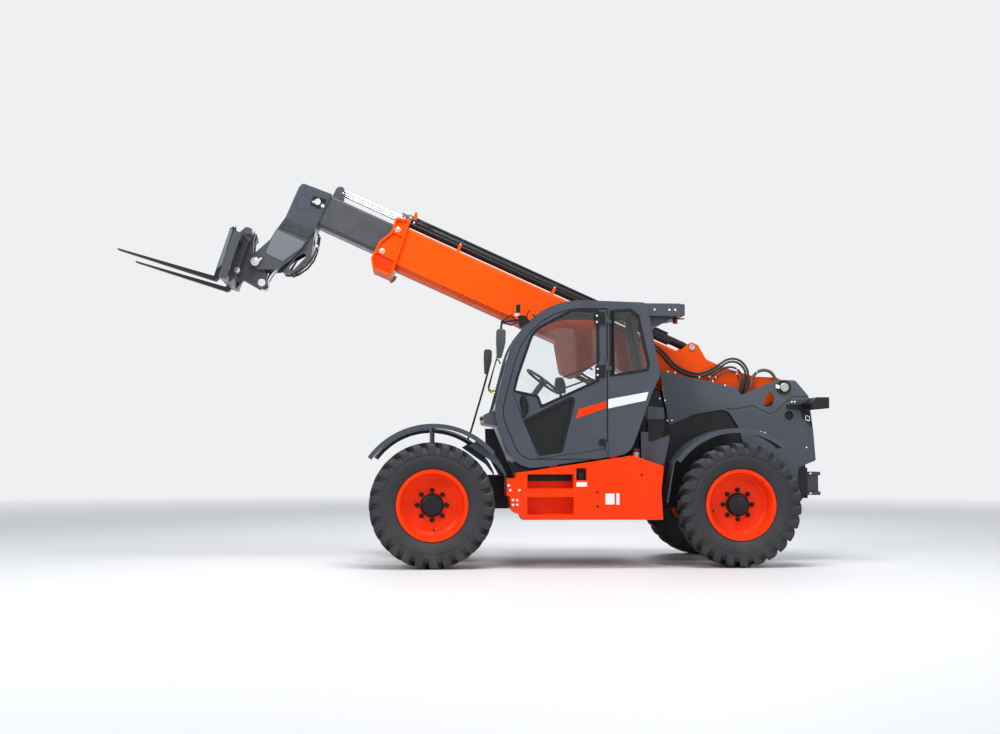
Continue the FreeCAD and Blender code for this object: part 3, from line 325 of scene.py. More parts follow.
# %% Floor, sky and lamps
BACKDROP = (0.86, 0.87, 0.885)
FLOOR_RADIUS, FLOOR_SIDES = 70.0, 96
FADE_FROM, FADE_TO = 9.0, 26.0
LAMPS_AIM = Vector((-0.4, 0.0, 1.4))
# name, place, size in metres, power in watts
LAMPS = [
    ("key_lamp", (7.5, 9.5, 8.5), 4.0, 760.0),
    ("fill_lamp", (-7.0, 10.0, 5.0), 6.0, 260.0),
    ("top_lamp", (-0.5, 3.5, 9.5), 4.5, 760.0),
    ("far_lamp", (-3.0, -10.0, 7.5), 6.0, 420.0),
]


def angles(steps):
    """Even steps round a full circle."""
    return [k * math.tau / steps for k in range(steps)]


floor_mesh = bpy.data.meshes.new("floor")
floor_mesh.from_pydata([(FLOOR_RADIUS * math.cos(a), FLOOR_RADIUS * math.sin(a), 0.0) for a in angles(FLOOR_SIDES)],
                       [], [list(range(FLOOR_SIDES))])
floor = new_object("floor", floor_mesh)

ground = Finish("pale_floor", (0.72, 0.725, 0.735), 0.55)
distance = ground.add("VectorMath", 1, {"operation": "LENGTH"}, i0=ground.place)
fade = ground.times(ground.between(distance, FADE_FROM, FADE_TO), ground.looked_at())
glow = ground.add("Emission", Color=rgba(BACKDROP))
ground.put(ground.tree.nodes["Material Output"].inputs["Surface"],
           ground.add("MixShader", i0=fade, i1=ground.shader.outputs[0], i2=glow))
floor_mesh.materials.append(ground.close(ground.mix(
    ground.between(ground.noise(40.0, 4.0), 0.3, 0.7), (0.71, 0.715, 0.725, 1.0), (0.735, 0.74, 0.75, 1.0))))

world = bpy.data.worlds.new("studio")
bpy.context.scene.world = world
world.use_nodes = True
world.node_tree.nodes.clear()
sky = Network(world.node_tree)
ambient = sky.add("Background", Color=(0.86, 0.92, 1.0, 1.0), Strength=0.38)
backdrop = sky.add("Background", Color=rgba(BACKDROP))
sky.put(sky.tree.nodes.new("ShaderNodeOutputWorld").inputs[0],
        sky.add("MixShader", i0=sky.looked_at(), i1=ambient, i2=backdrop))

for name, place, size, power in LAMPS:
    light = bpy.data.lights.new(name, "AREA")
    light.size, light.energy = size, power
    lamp = new_object(name, light)
    lamp.location = place
    lamp.rotation_euler = (LAMPS_AIM - Vector(place)).to_track_quat("-Z", "Y").to_euler()

bpy.context.scene.view_settings.view_transform = "Standard"
print("lamps", len(LAMPS))

# %% [markdown]
# Every added fitting is a mesh of a few swept forms: a ring of points that is carried along and joined up, called a
# loft. A turned part, a plate, a pipe and a tapered bar are all lofts, so one small class makes them all. Sizes are
# written in millimetres as in the workshop and scaled once, when the mesh is made.

# %% A helper for lofted meshes
MM = 0.001
AXIS_X, AXIS_Y, AXIS_Z = Vector((1, 0, 0)), Vector((0, 1, 0)), Vector((0, 0, 1))


class Piece:
    """A mesh under construction, in millimetres, made of lofts; 'at' places what is added next."""

    def __init__(self, name, at=None):
        self.name, self.at = name, at or Matrix.Identity(4)
        self.points, self.faces, self.marks, self.finishes = [], [], [], []

    def use(self, finish):
        if finish not in self.finishes:
            self.finishes.append(finish)
        self.mark = self.finishes.index(finish)
        return self

    def loft(self, rings, caps=True, loop=False):
        first, width = len(self.points), len(rings[0])
        for ring in rings:
            self.points += [self.at @ Vector(p) for p in ring]
        for i in range(len(rings) if loop else len(rings) - 1):
            a, b = first + i * width, first + (i + 1) % len(rings) * width
            self.faces += [(a + k, a + (k + 1) % width, b + (k + 1) % width, b + k) for k in range(width)]
        if caps and not loop:
            self.faces.append(tuple(range(first + width - 1, first - 1, -1)))
            self.faces.append(tuple(range(first + (len(rings) - 1) * width, first + len(rings) * width)))
        self.marks += [self.mark] * (len(self.faces) - len(self.marks))
        return self

    def turn(self, centre, axis, profile, steps=32):
        """A turned form: (distance along the axis, radius) points carried round the axis."""
        centre, axis = Vector(centre), Vector(axis).normalized()
        side = axis.orthogonal().normalized()
        other = axis.cross(side)
        return self.loft([[centre + axis * t + (side * math.cos(a) + other * math.sin(a)) * r for t, r in profile]
                          for a in angles(steps)], loop=True)

    def disc(self, centre, axis, radius, thick, edge=1.0, steps=24):
        """A round cap or pin whose rim is broken by a small chamfer."""
        return self.turn(centre, axis, [(0, 0), (0, radius), (thick - edge, radius), (thick, radius - edge),
                                        (thick, 0)], steps)

    def discs(self, y, places, radius, thick, edge=1.5, steps=16):
        """The same small disc at several places (x, z) of one side."""
        for x, z in places:
            self.disc((x, y, z), AXIS_Y, radius, thick, edge, steps)
        return self

    def plate(self, outline, low, high):
        """An outline in XZ given thickness from one Y to another."""
        return self.loft([[(x, y, z) for x, z in outline] for y in (low, high)])

    def block(self, x0, x1, y0, y1, z0, z1):
        return self.plate([(x0, z0), (x1, z0), (x1, z1), (x0, z1)], y0, y1)

    def pipe(self, route, radius, steps=12):
        """A round section carried along a route, turned with it so that it never twists."""
        route = [Vector(p) for p in route]
        side = (route[1] - route[0]).orthogonal().normalized()
        rings = []
        for i, p in enumerate(route):
            before = (p - route[i - 1]).normalized() if i else (route[1] - p).normalized()
            after = (route[i + 1] - p).normalized() if i + 1 < len(route) else before
            along = (before + after).normalized()
            side = (side - along * side.dot(along)).normalized()
            other = along.cross(side)
            rings.append([p + (side * math.cos(a) + other * math.sin(a)) * radius for a in angles(steps)])
        return self.loft(rings)

    def bolt(self, centre, axis, across, washer=True):
        """A hexagon head on its washer, seen from outside along the axis."""
        centre, axis = Vector(centre), Vector(axis).normalized()
        if washer:
            self.disc(centre, axis, across * 0.85, across * 0.12, 0.6, 20)
            centre = centre + axis * across * 0.12
        return self.turn(centre, axis, [(0, 0), (0, across * 0.57), (across * 0.38, across * 0.57),
                                        (across * 0.46, across * 0.48), (across * 0.46, 0)], 6)

    def mirrored(self):
        """Adds the same forms again on the machine's other side."""
        count = len(self.points)
        self.points += [Vector((p.x, -p.y, p.z)) for p in self.points]
        self.faces += [tuple(count + k for k in reversed(face)) for face in self.faces]
        self.marks += self.marks
        return self

    def make(self, body, slot, bevel=0.0, sharp=32.0, stands_for=()):
        mesh = bpy.data.meshes.new(self.name)
        mesh.from_pydata([p * MM for p in self.points], [], self.faces)
        for finish in self.finishes:
            mesh.materials.append(finish)
        mesh.polygons.foreach_set("material_index", self.marks)
        shape = bmesh.new()
        shape.from_mesh(mesh)
        bmesh.ops.remove_doubles(shape, verts=shape.verts, dist=1e-6)
        bmesh.ops.recalc_face_normals(shape, faces=shape.faces)
        shape.to_mesh(mesh)
        shape.free()
        mesh.polygons.foreach_set("use_smooth", [True] * len(mesh.polygons))
        mesh.set_sharp_from_angle(angle=math.radians(sharp))
        made = new_object(self.name, mesh)
        if bevel:
            round_off = made.modifiers.new("edges", "BEVEL")
            round_off.width, round_off.segments, round_off.limit_method = bevel * MM, 2, "ANGLE"
            round_off.angle_limit, round_off.harden_normals = math.radians(sharp), True
        if body:
            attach(made, body)
        if stands_for:
            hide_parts(*stands_for)
        return made


print("piece helper ready")

# %% [markdown]
# The tyres are industrial lug tyres. A smooth ring with a bump map would look like a toy, because the lugs break the
# outline, so each lug is a real bar: it starts as a block on the shoulder, bends inward and ends past the middle of
# the tread. Both sides have the same lugs, half a pitch apart. The far tyres are mirror images.

# %% The tyres
TYRE_R, TYRE_STEPS, LUGS = 616.0, 104, 26
WHEEL_X, WHEEL_Y = {"front": 480, "rear": -2560}, 925
# distance from the tyre's middle plane and radius, from one bead round the outside to the other
HALF_SECTION = [(112, 322), (122, 340), (146, 352), (156, 362), (170, 396), (183, 440), (187, 476), (184, 482),
                (187, 488), (184, 508), (176, 532), (160, 552), (130, 566), (60, 574), (0, 576)]
# distance from the middle, shift along the tread, half width, top radius and foot radius of a lug
LUG_RINGS = [(191, 4, 30, 528, 490), (190, 6, 36, 570, 500), (181, 10, 38, 592, 524), (160, 20, 37, 604, 544),
             (110, 52, 29, 613, 558), (60, 84, 25, 616, 566), (10, 112, 22, 616, 568), (-14, 124, 19, 612, 568)]
LUG_FLARE = 9


def wheel_place(wheel):
    """The side of a wheel, 1 for left and -1 for right, and the matrix to its middle."""
    end, side_name = wheel.split("_")
    side = 1 if side_name == "left" else -1
    return side, Matrix.Translation((WHEEL_X[end], side * WHEEL_Y, TYRE_R))


def on_tread(y, shift, radius, turn):
    angle = turn + shift / TYRE_R
    return (radius * math.sin(angle), y, radius * math.cos(angle))


for wheel in WHEELS:
    side, middle = wheel_place(wheel)
    tyre = Piece("lugged_tyre_" + wheel, middle).use(tyre_rubber)
    section = HALF_SECTION + [(-y, r) for y, r in reversed(HALF_SECTION[:-1])] + [(-110, 316), (0, 312), (110, 316)]
    tyre.turn((0, 0, 0), AXIS_Y, section, TYRE_STEPS)
    for row, pitch in ((1, 0.0), (-1, 0.5)):
        for k in range(LUGS):
            turn = (k + pitch) * math.tau / LUGS
            tyre.loft([[on_tread(row * y * 0.999, side * (shift + d), r, turn) for d, r in
                        ((-half - LUG_FLARE, foot), (-half, top), (half, top), (half + LUG_FLARE, foot))]
                       for y, shift, half, top, foot in LUG_RINGS])
    tyre.make("wheel_" + wheel, "tyre", bevel=5.0, sharp=38.0, stands_for=["tyre_" + wheel])
print("tyres with", 2 * LUGS, "lugs each")

# %% [markdown]
# In the middle of each rim sits the black end of the axle's reduction gear, ringed by eight studs and nuts, and the
# valve pokes through the disc near its edge. They are turned forms, because that is how they are made.

# %% Hubs, wheel nuts and valves
COVER_BOLTS_R, STUDS_R, VALVE_R = 84, 146, 236
VALVE_ANGLE = {"front": -1.75, "rear": -0.25}


def round_hub(radius, angle, out):
    return Vector((radius * math.cos(angle), out, radius * math.sin(angle)))


for wheel in WHEELS:
    side, middle = wheel_place(wheel)
    hub = Piece("hub_" + wheel, middle @ Matrix.Diagonal((1, side, 1, 1))).use(black)
    hub.turn((0, 3, 0), AXIS_Y, [(0, 60), (0, 118), (10, 118), (14, 110), (44, 106), (58, 98), (62, 90), (60, 78),
                                 (62, 72), (62, 0), (50, 0)], 48)
    for k in range(6):
        hub.bolt(round_hub(COVER_BOLTS_R, (k + 0.25) * math.tau / 6, 62), AXIS_Y, 15, False)
    hub.disc(round_hub(46, 1.1, 64), AXIS_Y, 11, 7, 1.5, 12)
    for a in angles(8):
        hub.disc(round_hub(STUDS_R, a, 2), AXIS_Y, 24, 5, 1.0, 20)
        hub.turn(round_hub(STUDS_R, a, 7), AXIS_Y, [(0, 0), (0, 20), (19, 19), (23, 15), (23, 0)], 6)
        hub.disc(round_hub(STUDS_R, a, 28), AXIS_Y, 9, 16, 1.5, 12)
    valve = round_hub(VALVE_R, VALVE_ANGLE[wheel.split("_")[0]], 2)
    hub.use(seal_rubber).disc(valve, AXIS_Y, 9, 12, 2.0, 16).disc(valve + Vector((24, 0, -7)), AXIS_Y, 8, 8, 2.0, 16)
    hub.use(zinc).disc(valve + AXIS_Y * 12, AXIS_Y, 5, 22, 1.0, 12)
    hub.make("wheel_" + wheel, "black")
print("hubs", len(WHEELS))

# %% [markdown]
# Five hydraulic hoses leave fittings on the left side plate in high loops. Two run on to the boom, so they must bend
# when it lifts; here their tubes are meshes swept once along their routes and tied to no body. The other three are
# plain curves. Each line is a smooth spline whose control points are the corners of the route in the model.

# %% Hydraulic hoses
PORT = 1.69
# node: (diameter, lane y, length, route as x and z), all in metres
HOSES = {
    "hose_long_upper": (0.024, 0.226, 1.576, [
        (-1.8197, 2.2966), (-1.9109, 2.2556), (-2.0107, 2.1483), (-2.0918, 2.0483), (-2.290, 1.960), (-2.414, 1.985),
        (-2.550, 2.062), (-2.661, 2.135), (-2.784, 2.120), (-2.862, 2.025), (-2.872, 1.930), (-2.840, 1.830),
        (-2.820, 1.760), (-2.820, PORT)]),
    "hose_long_lower": (0.024, 0.226, 1.543, [
        (-1.8066, 2.2674), (-1.8941, 2.2281), (-1.9884, 2.1232), (-2.0723, 2.0219), (-2.285, 1.930), (-2.420, 1.955),
        (-2.560, 2.033), (-2.665, 2.104), (-2.768, 2.090), (-2.836, 2.012), (-2.843, 1.930), (-2.806, 1.830),
        (-2.788, 1.760), (-2.788, PORT)]),
    "hose_short_upper": (0.022, 0.256, 0.953, [
        (-2.340, PORT), (-2.340, 1.762), (-2.372, 1.840), (-2.430, 1.920), (-2.525, 1.993), (-2.633, 2.043),
        (-2.736, 2.030), (-2.797, 1.955), (-2.803, 1.865), (-2.766, 1.772), (-2.766, PORT)]),
    "hose_short_lower": (0.020, 0.284, 0.807, [
        (-2.390, PORT), (-2.390, 1.763), (-2.425, 1.840), (-2.490, 1.915), (-2.575, 1.972), (-2.658, 1.998),
        (-2.725, 1.972), (-2.764, 1.910), (-2.770, 1.835), (-2.741, 1.762), (-2.741, PORT)]),
    "hose_return": (0.034, 0.244, 0.783, [
        (-2.893, PORT), (-2.893, 1.762), (-2.889, 1.842), (-2.905, 1.922), (-2.950, 1.985), (-3.025, 2.013),
        (-3.098, 1.996), (-3.142, 1.948), (-3.158, 1.888), (-3.146, 1.822), (-3.140, 1.755), (-3.140, PORT)]),
}
# shares of the length at which a hose has a tie
TIES = {"hose_short_upper": (0.30, 0.62), "hose_short_lower": (0.30, 0.62), "hose_return": (0.35,)}


def smooth_line(name, points, radius=0.0):
    data = bpy.data.curves.new(name, "CURVE")
    data.dimensions = "3D"
    spline = data.splines.new("NURBS")
    spline.points.add(len(points) - 1)
    for knot, p in zip(spline.points, points):
        knot.co = (*p, 1.0)
    spline.order_u = 3
    spline.use_endpoint_u = True
    data.resolution_u = 10
    data.bevel_depth, data.bevel_resolution, data.use_fill_caps = radius, 4, radius > 0
    return new_object(name, data)


fittings, ties = Piece("hose_fittings"), Piece("hose_ties").use(white)
for node, (diameter, lane, length, route) in HOSES.items():
    points = [(x, lane, z) for x, z in route]
    cover = return_rubber if node == "hose_return" else hose_rubber
    bare = smooth_line(node + "_line", points)
    path = [v.co.copy() for v in bpy.data.meshes.new_from_object(bare).vertices]
    bpy.data.objects.remove(bare)
    r = diameter / 2 / MM
    if "long" in node:
        tube = Piece(node + "_tube").use(cover).pipe([p / MM for p in path], r, 14)
        hose = tube.make(None, "hose", stands_for=[node])
        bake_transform(hose)
    else:
        hose = smooth_line(node + "_tube", points, diameter / 2)
        hose.data.materials.append(cover)
        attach(hose, "chassis")
        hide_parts(node)
    for end in (points[0], points[-1]):
        if end[2] == PORT:
            foot = Vector(end) / MM - AXIS_Z * 6
            fittings.use(zinc).turn(foot, AXIS_Z, [(0, 0), (0, r + 7), (14, r + 7), (16, r + 4), (16, 0)], 6)
            fittings.use(steel).turn(foot, AXIS_Z, [(16, r + 0.5), (16, r + 3), (50, r + 3), (52, r + 1),
                                                    (52, r + 0.5)], 20)
    for share in TIES.get(node, ()):
        k = int(share * (len(path) - 1))
        ties.turn(path[k] / MM, path[k + 1] - path[k], [(0, r + 0.3), (0, r + 2), (9, r + 2), (9, r + 0.3)], 20)
fittings.make("chassis", "chrome", bevel=0.8)
ties.make("chassis", "plastic")
print("hoses", len(HOSES))

# %% [markdown]
# The boom is folded plate with weld seams along its sides. At its mouth a heavy collar holds wear pads with large
# plated bolts. Sizes here are along the boom and square to it, as in the boom's own drawing, and one matrix puts
# them in place.

# %% Fittings on the boom
BOOM_PIVOT, BOOM_RISE = (-3214, 0, 1818), 24.2
AT_BOOM = Matrix.Translation(BOOM_PIVOT) @ Matrix.Rotation(math.radians(-BOOM_RISE), 4, "Y")

boom_marks = Piece("boom_seams", AT_BOOM).use(charcoal)
boom_marks.plate([(4228, -299), (4228, -302), (1560, -312), (1560, -309)], 190.0, 190.7)
boom_marks.plate([(3560, -139), (3560, -142), (1700, -134), (1700, -131)], 190.0, 190.7)
boom_marks.block(1560, 4200, 189.6, 190.4, -497, -492).mirrored().make("boom", "black")

collar = Piece("collar_fittings", AT_BOOM).use(zinc)
for s_at, n_at in ((4377, -153), (4431, -427)):
    collar.disc((s_at, 208, n_at), AXIS_Y, 31, 5, 1.5, 28).bolt((s_at, 213, n_at), AXIS_Y, 34, False)
    collar.turn((s_at, 213, n_at), AXIS_Y, [(0, 11), (0, 14), (19, 14), (22, 11), (22, 0), (20, 0)], 20)
collar.use(boom_orange)
for n_at in (-106, -250, -300, -520):
    collar.block(4266, 4440, 206, 211, n_at - 3, n_at + 3)
collar.use(orange).plate([(4262, -480), (4478, -480), (4480, -548), (4440, -606), (4266, -606)], 204, 213)
collar.use(steel).plate([(4206, -560), (4250, -560), (4262, -628), (4246, -656), (4222, -640), (4204, -600)],
                        196, 203)
collar.mirrored().make("boom", "orange", bevel=1.5)

gland = Piece("gland_block", AT_BOOM).use(light_grey)
gland.block(4336, 4420, -56, 56, 52, 60).block(4322, 4352, -62, 62, -30, 66)
gland.turn((4300, 0, 12), AXIS_X, [(0, 40), (0, 58), (40, 58), (46, 52), (46, 40)], 40)
gland.use(boom_orange)
for low, high in ((-70, -58), (58, 70)):
    gland.plate([(4248, 40), (4286, 40), (4300, 112), (4288, 124), (4268, 112)], low, high)
gland.use(black)
for y in (-40, 40):
    gland.bolt((4352, y, 30), AXIS_X, 20).bolt((4352, y, -12), AXIS_X, 20)
gland.use(zinc).bolt((4318, 62, 46), AXIS_Y, 16)
gland.use(white).disc((4262, 64, 8), AXIS_Y, 10, 18, 2, 16)
gland.use(black).pipe([(4262, 66, 10), (4230, 74, 34), (4180, 66, 50), (4060, 50, 62)], 8)
gland.make("boom", "charcoal", bevel=1.5)

clamps = Piece("pipe_clamps", AT_BOOM)
for s_at in (1500, 2600, 3700):
    clamps.use(black).block(s_at - 4, s_at + 34, -66, 66, -2, 6)
    clamps.turn((s_at, 0, 12), AXIS_X, [(0, 44.5), (0, 50), (30, 50), (30, 44.5)], 40)
    for y in (-80, 80):
        clamps.use(zinc).bolt((s_at + 15, y, 0), AXIS_Z, 16)
for side in (1, -1):
    clamps.use(steel).disc((1035, side * 206, 6), side * AXIS_Y, 34, 12, 4, 32)
for n_at in (-135, -167):
    clamps.use(zinc).turn((1480, 226, n_at), -AXIS_X, [(-2, 0), (-2, 16), (10, 16), (12, 14), (12, 12.4),
                                                       (-2, 12.4)], 6)
    clamps.use(steel).turn((1468, 226, n_at), -AXIS_X, [(0, 12.3), (0, 15), (34, 15), (36, 13.5), (36, 12.3)], 20)
    clamps.use(zinc).turn((1540, 226, n_at), AXIS_X, [(-1, 0), (-1, 15), (14, 15), (16, 12), (16, 0)], 6)
    clamps.use(black).pipe([(1552, 226, n_at), (1600, 226, n_at), (1650, 214, n_at + 18), (1740, 202, n_at + 30),
                            (2080, 202, n_at + 28), (2100, 196, n_at + 28)], 9)
clamps.make("boom", "black", bevel=1.0)
print("boom fittings ready")

# %% [markdown]
# The head at the end of the inner section is a welded box. Thin plates on two of its faces, slate above and light
# grey below, are painted highlight that makes those faces lighter than the folded steel between them. Its pins have
# plated caps with keeper plates, held by one small bolt each.

# %% The boom head
def arc(centre, radius, start, end, steps):
    """Points on a circle in XZ, between two angles in degrees."""
    return [(centre[0] + radius * math.cos(a), centre[1] + radius * math.sin(a)) for a in
            (math.radians(start + (end - start) * k / steps) for k in range(steps + 1))]


head = Piece("head_highlight_plates_and_caps", AT_BOOM).use(slate)
# The slate plate above and the light grey plate below are painted highlight on the charcoal head.
head.plate([(5172, -102), (5470, -122), (5494, -180), (5488, -530), (5172, -512)], 180.0, 182.0)
head.use(light_grey).plate([(5206, -674), (5526, -678), (5531, -762), (5529, -936), (5505, -956), (5326, -956),
                            (5215, -745)], 173.0, 174.5)
for finish, radius, low, high in ((black, 84, 182.0, 182.4), (slate, 80, 182.2, 183.2)):
    head.use(finish).plate(arc((5388, -301), radius, 0, 360, 40)[:-1], low, high)
head.use(black).plate([(5186, -170), (5330, -196), (5322, -290), (5230, -300), (5186, -262)], 182.0, 188.0)
head.use(zinc).disc((5261, 188, -236), AXIS_Y, 34, 9, 2.0, 32)
head.bolt((5300, 188, -254), AXIS_Y, 15).disc((5196, 182, -252), AXIS_Y, 19, 7, 1.5, 24)
head.use(black).discs(158, ((5220, -565), (5300, -580), (5400, -590), (5480, -600)), 7, 8, 1.0, 12)
head.mirrored().make("telescope", "charcoal", bevel=0.8)

keeper = Piece("main_pin_keeper", AT_BOOM).use(zinc)
keeper.disc((5586, 184, -1079), AXIS_Y, 46, 8, 2.0, 36)
keeper.plate(arc((5586, -1079), 30, -60, 130, 12) + [(5540, -1012), (5528, -1026), (5546, -1066)], 192, 199)
keeper.bolt((5545, 199, -1030), AXIS_Y, 14)
keeper.use(chrome).turn((5586, 192, -1079), AXIS_Y, [(0, 0), (0, 27), (8, 27), (10, 24), (10, 0)], 32)
keeper.mirrored().make("telescope", "chrome", bevel=0.8)

lines = Piece("head_lines", AT_BOOM)
for y in (-98, -78, 78, 98):
    lines.use(hose_rubber).pipe([(5120, y, -528), (5098, y, -600), (5076, y, -700), (5072, y, -790), (5096, y, -890),
                                 (5150, y, -985), (5200, y, -1040)], 8.5)
    lines.use(zinc).turn((5086, y, -640), (-0.22, 0, -0.97), [(0, 8.5), (0, 12), (26, 12), (28, 8.5)], 16)
lines.make("telescope", "black")
print("head fittings ready")

# %% [markdown]
# The fork carriage is a frame of bars on a pair of hitch plates. The forks hang on the top bar, and the outer face of
# each shank carries a light grey strip. The lower hitch pin passes close inside the head when the carriage tilts, so
# its cap is thin.

# %% The carriage
AT_FORKS = Matrix.Translation((2323.4, 0, 3123.6)) @ Matrix.Rotation(math.radians(-17.6), 4, "Y")

hitch = Piece("hitch_pins", AT_FORKS).use(zinc).disc((-125, 125, -184), AXIS_Y, 40, 1.6, 0.48, 32)
for u, w, radius, y in ((132, -153, 30, 260), (144, 279, 36, 115)):
    hitch.use(zinc).disc((u, y, w), AXIS_Y, radius, 7, 2.1, 32)
    hitch.use(chrome).disc((u, y + 7, w), AXIS_Y, radius * 0.55, 4, 1.2, 24)
hitch.mirrored().make("carriage", "chrome", bevel=0.6)

shanks = Piece("fork_shanks", AT_FORKS).use(light_grey)
shanks.plate([(301, 216), (268, 214), (256, -168), (293, -216)], 475.0, 476.5)
shanks.use(charcoal).plate([(245, 168), (258, 150), (258, 224), (245, 226)], 366, 474)
shanks.use(black).block(250, 290, 404, 436, 226, 246)
shanks.use(zinc).turn((270, 420, 246), AXIS_Z, [(0, 0), (0, 12), (26, 12), (30, 9), (30, 0)], 20)
shanks.mirrored().make("carriage", "charcoal", bevel=1.0)

frame_trim = Piece("carriage_trim", AT_FORKS).use(light_grey)
frame_trim.plate([(230, 84), (162, 30), (190, -96), (258, -98)], 115.0, 117.0).use(black)
for w in (-262, 168):
    for y in (-470, -300, 300, 470):
        frame_trim.bolt((250, y, w), AXIS_X, 18)
frame_trim.use(white).block(250.2, 251.4, -60, 60, 155, 185)
frame_trim.make("carriage", "charcoal", bevel=0.6)
print("carriage fittings ready")

# %% [markdown]
# Panes, trims and seams all follow an outline. A few small functions draw them: they round the corners of an outline,
# move it outward or inward by an even distance, lay a flat band along it, or give it soft edges as a cushion has.

# %% Outlines, bands and strips
def rounded(corners, steps=6):
    """Corners (x, z, radius) turned into a dense outline with round corners."""
    outline = []
    for i, (x, z, radius) in enumerate(corners):
        here = Vector((x, z))
        back = (Vector(corners[i - 1][:2]) - here).normalized()
        ahead = (Vector(corners[(i + 1) % len(corners)][:2]) - here).normalized()
        half = back.angle(ahead) / 2
        centre = here + (back + ahead).normalized() * radius / math.sin(half)
        start = here + back * radius / math.tan(half) - centre
        stop = here + ahead * radius / math.tan(half) - centre
        first = math.atan2(start.y, start.x)
        turn = (math.atan2(stop.y, stop.x) - first + math.pi) % math.tau - math.pi
        outline += [(centre.x + radius * math.cos(first + turn * k / steps),
                     centre.y + radius * math.sin(first + turn * k / steps)) for k in range(steps + 1)]
    return outline


def rectangle(x0, x1, z0, z1, radius, far_radius=None, steps=6):
    """A rectangle with round corners, whose radius at x1 may differ from the one at x0."""
    far = far_radius or radius
    return rounded([(x0, z0, radius), (x0, z1, radius), (x1, z1, far), (x1, z0, far)], steps)


def offset(outline, distance, closed=True):
    """The outline moved sideways; a closed one grows when the distance is positive."""
    count = len(outline)
    area = sum(a[0] * b[1] - b[0] * a[1] for a, b in zip(outline, outline[1:] + outline[:1]))
    sign = -1.0 if closed and area < 0 else 1.0
    moved = []
    for i, point in enumerate(outline):
        here = Vector(point)
        last = here - Vector(outline[i - 1]) if closed or i else Vector(outline[1]) - here
        after = Vector(outline[(i + 1) % count]) - here if closed or i + 1 < count else last
        one, two = last.normalized(), after.normalized()
        normals = Vector((one.y, -one.x)), Vector((two.y, -two.x))
        middle = (normals[0] + normals[1]).normalized()
        moved.append(tuple(here + middle * sign * distance / max(middle.dot(normals[0]), 0.4)))
    return moved


def ribbon(piece, one, two, low, high, loop):
    """A flat strip between two edges."""
    return piece.loft([[(a[0], low, a[1]), (a[0], high, a[1]), (b[0], high, b[1]), (b[0], low, b[1])]
                       for a, b in zip(one, two)], loop=loop)


def band(piece, outline, out, inward, low, high):
    """A flat band of even width along a closed outline, as a seal or a trim is."""
    return ribbon(piece, offset(outline, out), offset(outline, -inward), low, high, True)


def strip(piece, route, width, low, high):
    """A narrow flat strip along an open route, for a seam or a pinstripe."""
    return ribbon(piece, offset(route, width / 2, False), offset(route, -width / 2, False), low, high, False)


def soft_plate(piece, outline, steps):
    """A plate whose outline grows or shrinks on its way: steps are (y, distance)."""
    return piece.loft([[(x, y, z) for x, z in offset(outline, d)] for y, d in steps])


def clip_left(outline, limit):
    """Keeps the part of an outline to the right of x = limit and closes it with a straight edge."""
    start = next(i for i, p in enumerate(outline) if p[0] > limit and outline[i - 1][0] <= limit)
    kept = [p for p in outline[start:] + outline[:start] if p[0] > limit]
    return kept + [(limit, kept[-1][1]), (limit, kept[0][1])]


print("outline helpers ready")

# %% [markdown]
# The glazing sits in black rubber, and the wide black frames are what makes a cab look like a cab. Just behind the
# small lower pane of the door lies a black sheet of painted shade, so the pane reads as black from outside.

# %% Cab glazing and door trim
CAB = [(-334, 952, 280), (-107, 1506, 400), (-407, 2648, 760), (-1632, 2612, 60), (-1762, 1895, 90),
       (-1672, 1700, 150), (-1458, 1118, 180)]
DOOR_PANE = [(-1153, 1831, 20), (-1153, 2533, 20), (-900, 2545, 120), (-500, 2330, 260), (-344, 1881, 30),
             (-304, 1723, 25), (-540, 1672, 20), (-579, 1568, 15)]
LOW_PANE = rounded([(-409, 1448, 30), (-935, 1712, 40), (-789, 1129, 40), (-559, 1096, 40)])
QUARTER_PANE = [(-1290, 2530, 25), (-1472, 2545, 60), (-1551, 2483, 40), (-1655, 1992, 30), (-1640, 1939, 20),
                (-1290, 1880, 25)]

door_seals = Piece("door_seals").use(black)
band(door_seals, rounded(DOOR_PANE), 6, 22, 1080.5, 1099.5)
band(door_seals, LOW_PANE, 2, 30, 1080.5, 1098.6)
# A black sheet just behind the lower pane: painted shade of the cab's inside.
door_seals.plate(offset(LOW_PANE, -28), 1081, 1085)
strip(door_seals, [(-300, 1722), (-330, 1640), (-552, 1086), (-580, 1072), (-1222, 1163)], 6, 1098.0, 1098.8)
door_seals.make("door", "black", bevel=1.5)

frame_seals = Piece("cab_frame_seals").use(black)
band(frame_seals, rounded(QUARTER_PANE), 8, 20, 1080.5, 1102.0)
band(frame_seals, clip_left(offset(rounded(CAB), -80), -1238), 4, 5, 1094.0, 1100.6)
frame_seals.block(-1292, -1257, 1100, 1102, 1874, 2533).make("chassis", "black", bevel=1.0)

door_trim = Piece("door_trim").use(orange)
door_trim.plate([(-952, 1555), (-1222, 1633), (-1221, 1569), (-926, 1464)], 1098.0, 1099.2)
door_trim.use(black).plate([(-415 + 42 * math.cos(a) + 16 * math.sin(a), 1592 + 92 * math.sin(a))
                            for a in angles(40)], 1098.0, 1099.4)
door_trim.block(-428, -397, 1117, 1139, 1478, 1702)
for z in (1490, 1690):
    door_trim.block(-427, -398, 1098, 1130, z - 11, z + 11)
for low, high, bolts in ((2386, 2516, ((-1133, 2476), (-1132, 2413))), (1862, 1990, ((-1139, 1950), (-1138, 1890)))):
    door_trim.use(black).plate(rectangle(-1212, -1114, low, high, 12, 16), 1108.5, 1112.0)
    door_trim.use(white).discs(1112, bolts, 10, 4, 1.5, 20)
door_trim.use(black).plate(rectangle(-1216, -1150, 1196, 1262, 8, 12), 1108.5, 1112.0)
door_trim.make("door", "black", bevel=1.0)
print("glazing trimmed")

# %% [markdown]
# The outside of the cab carries its stripe, the mirrors with their brackets, grab rails, wipers and small lamps.
# The mirrors are made anew here, because their soft shells and their glass need more form than the model gives them.

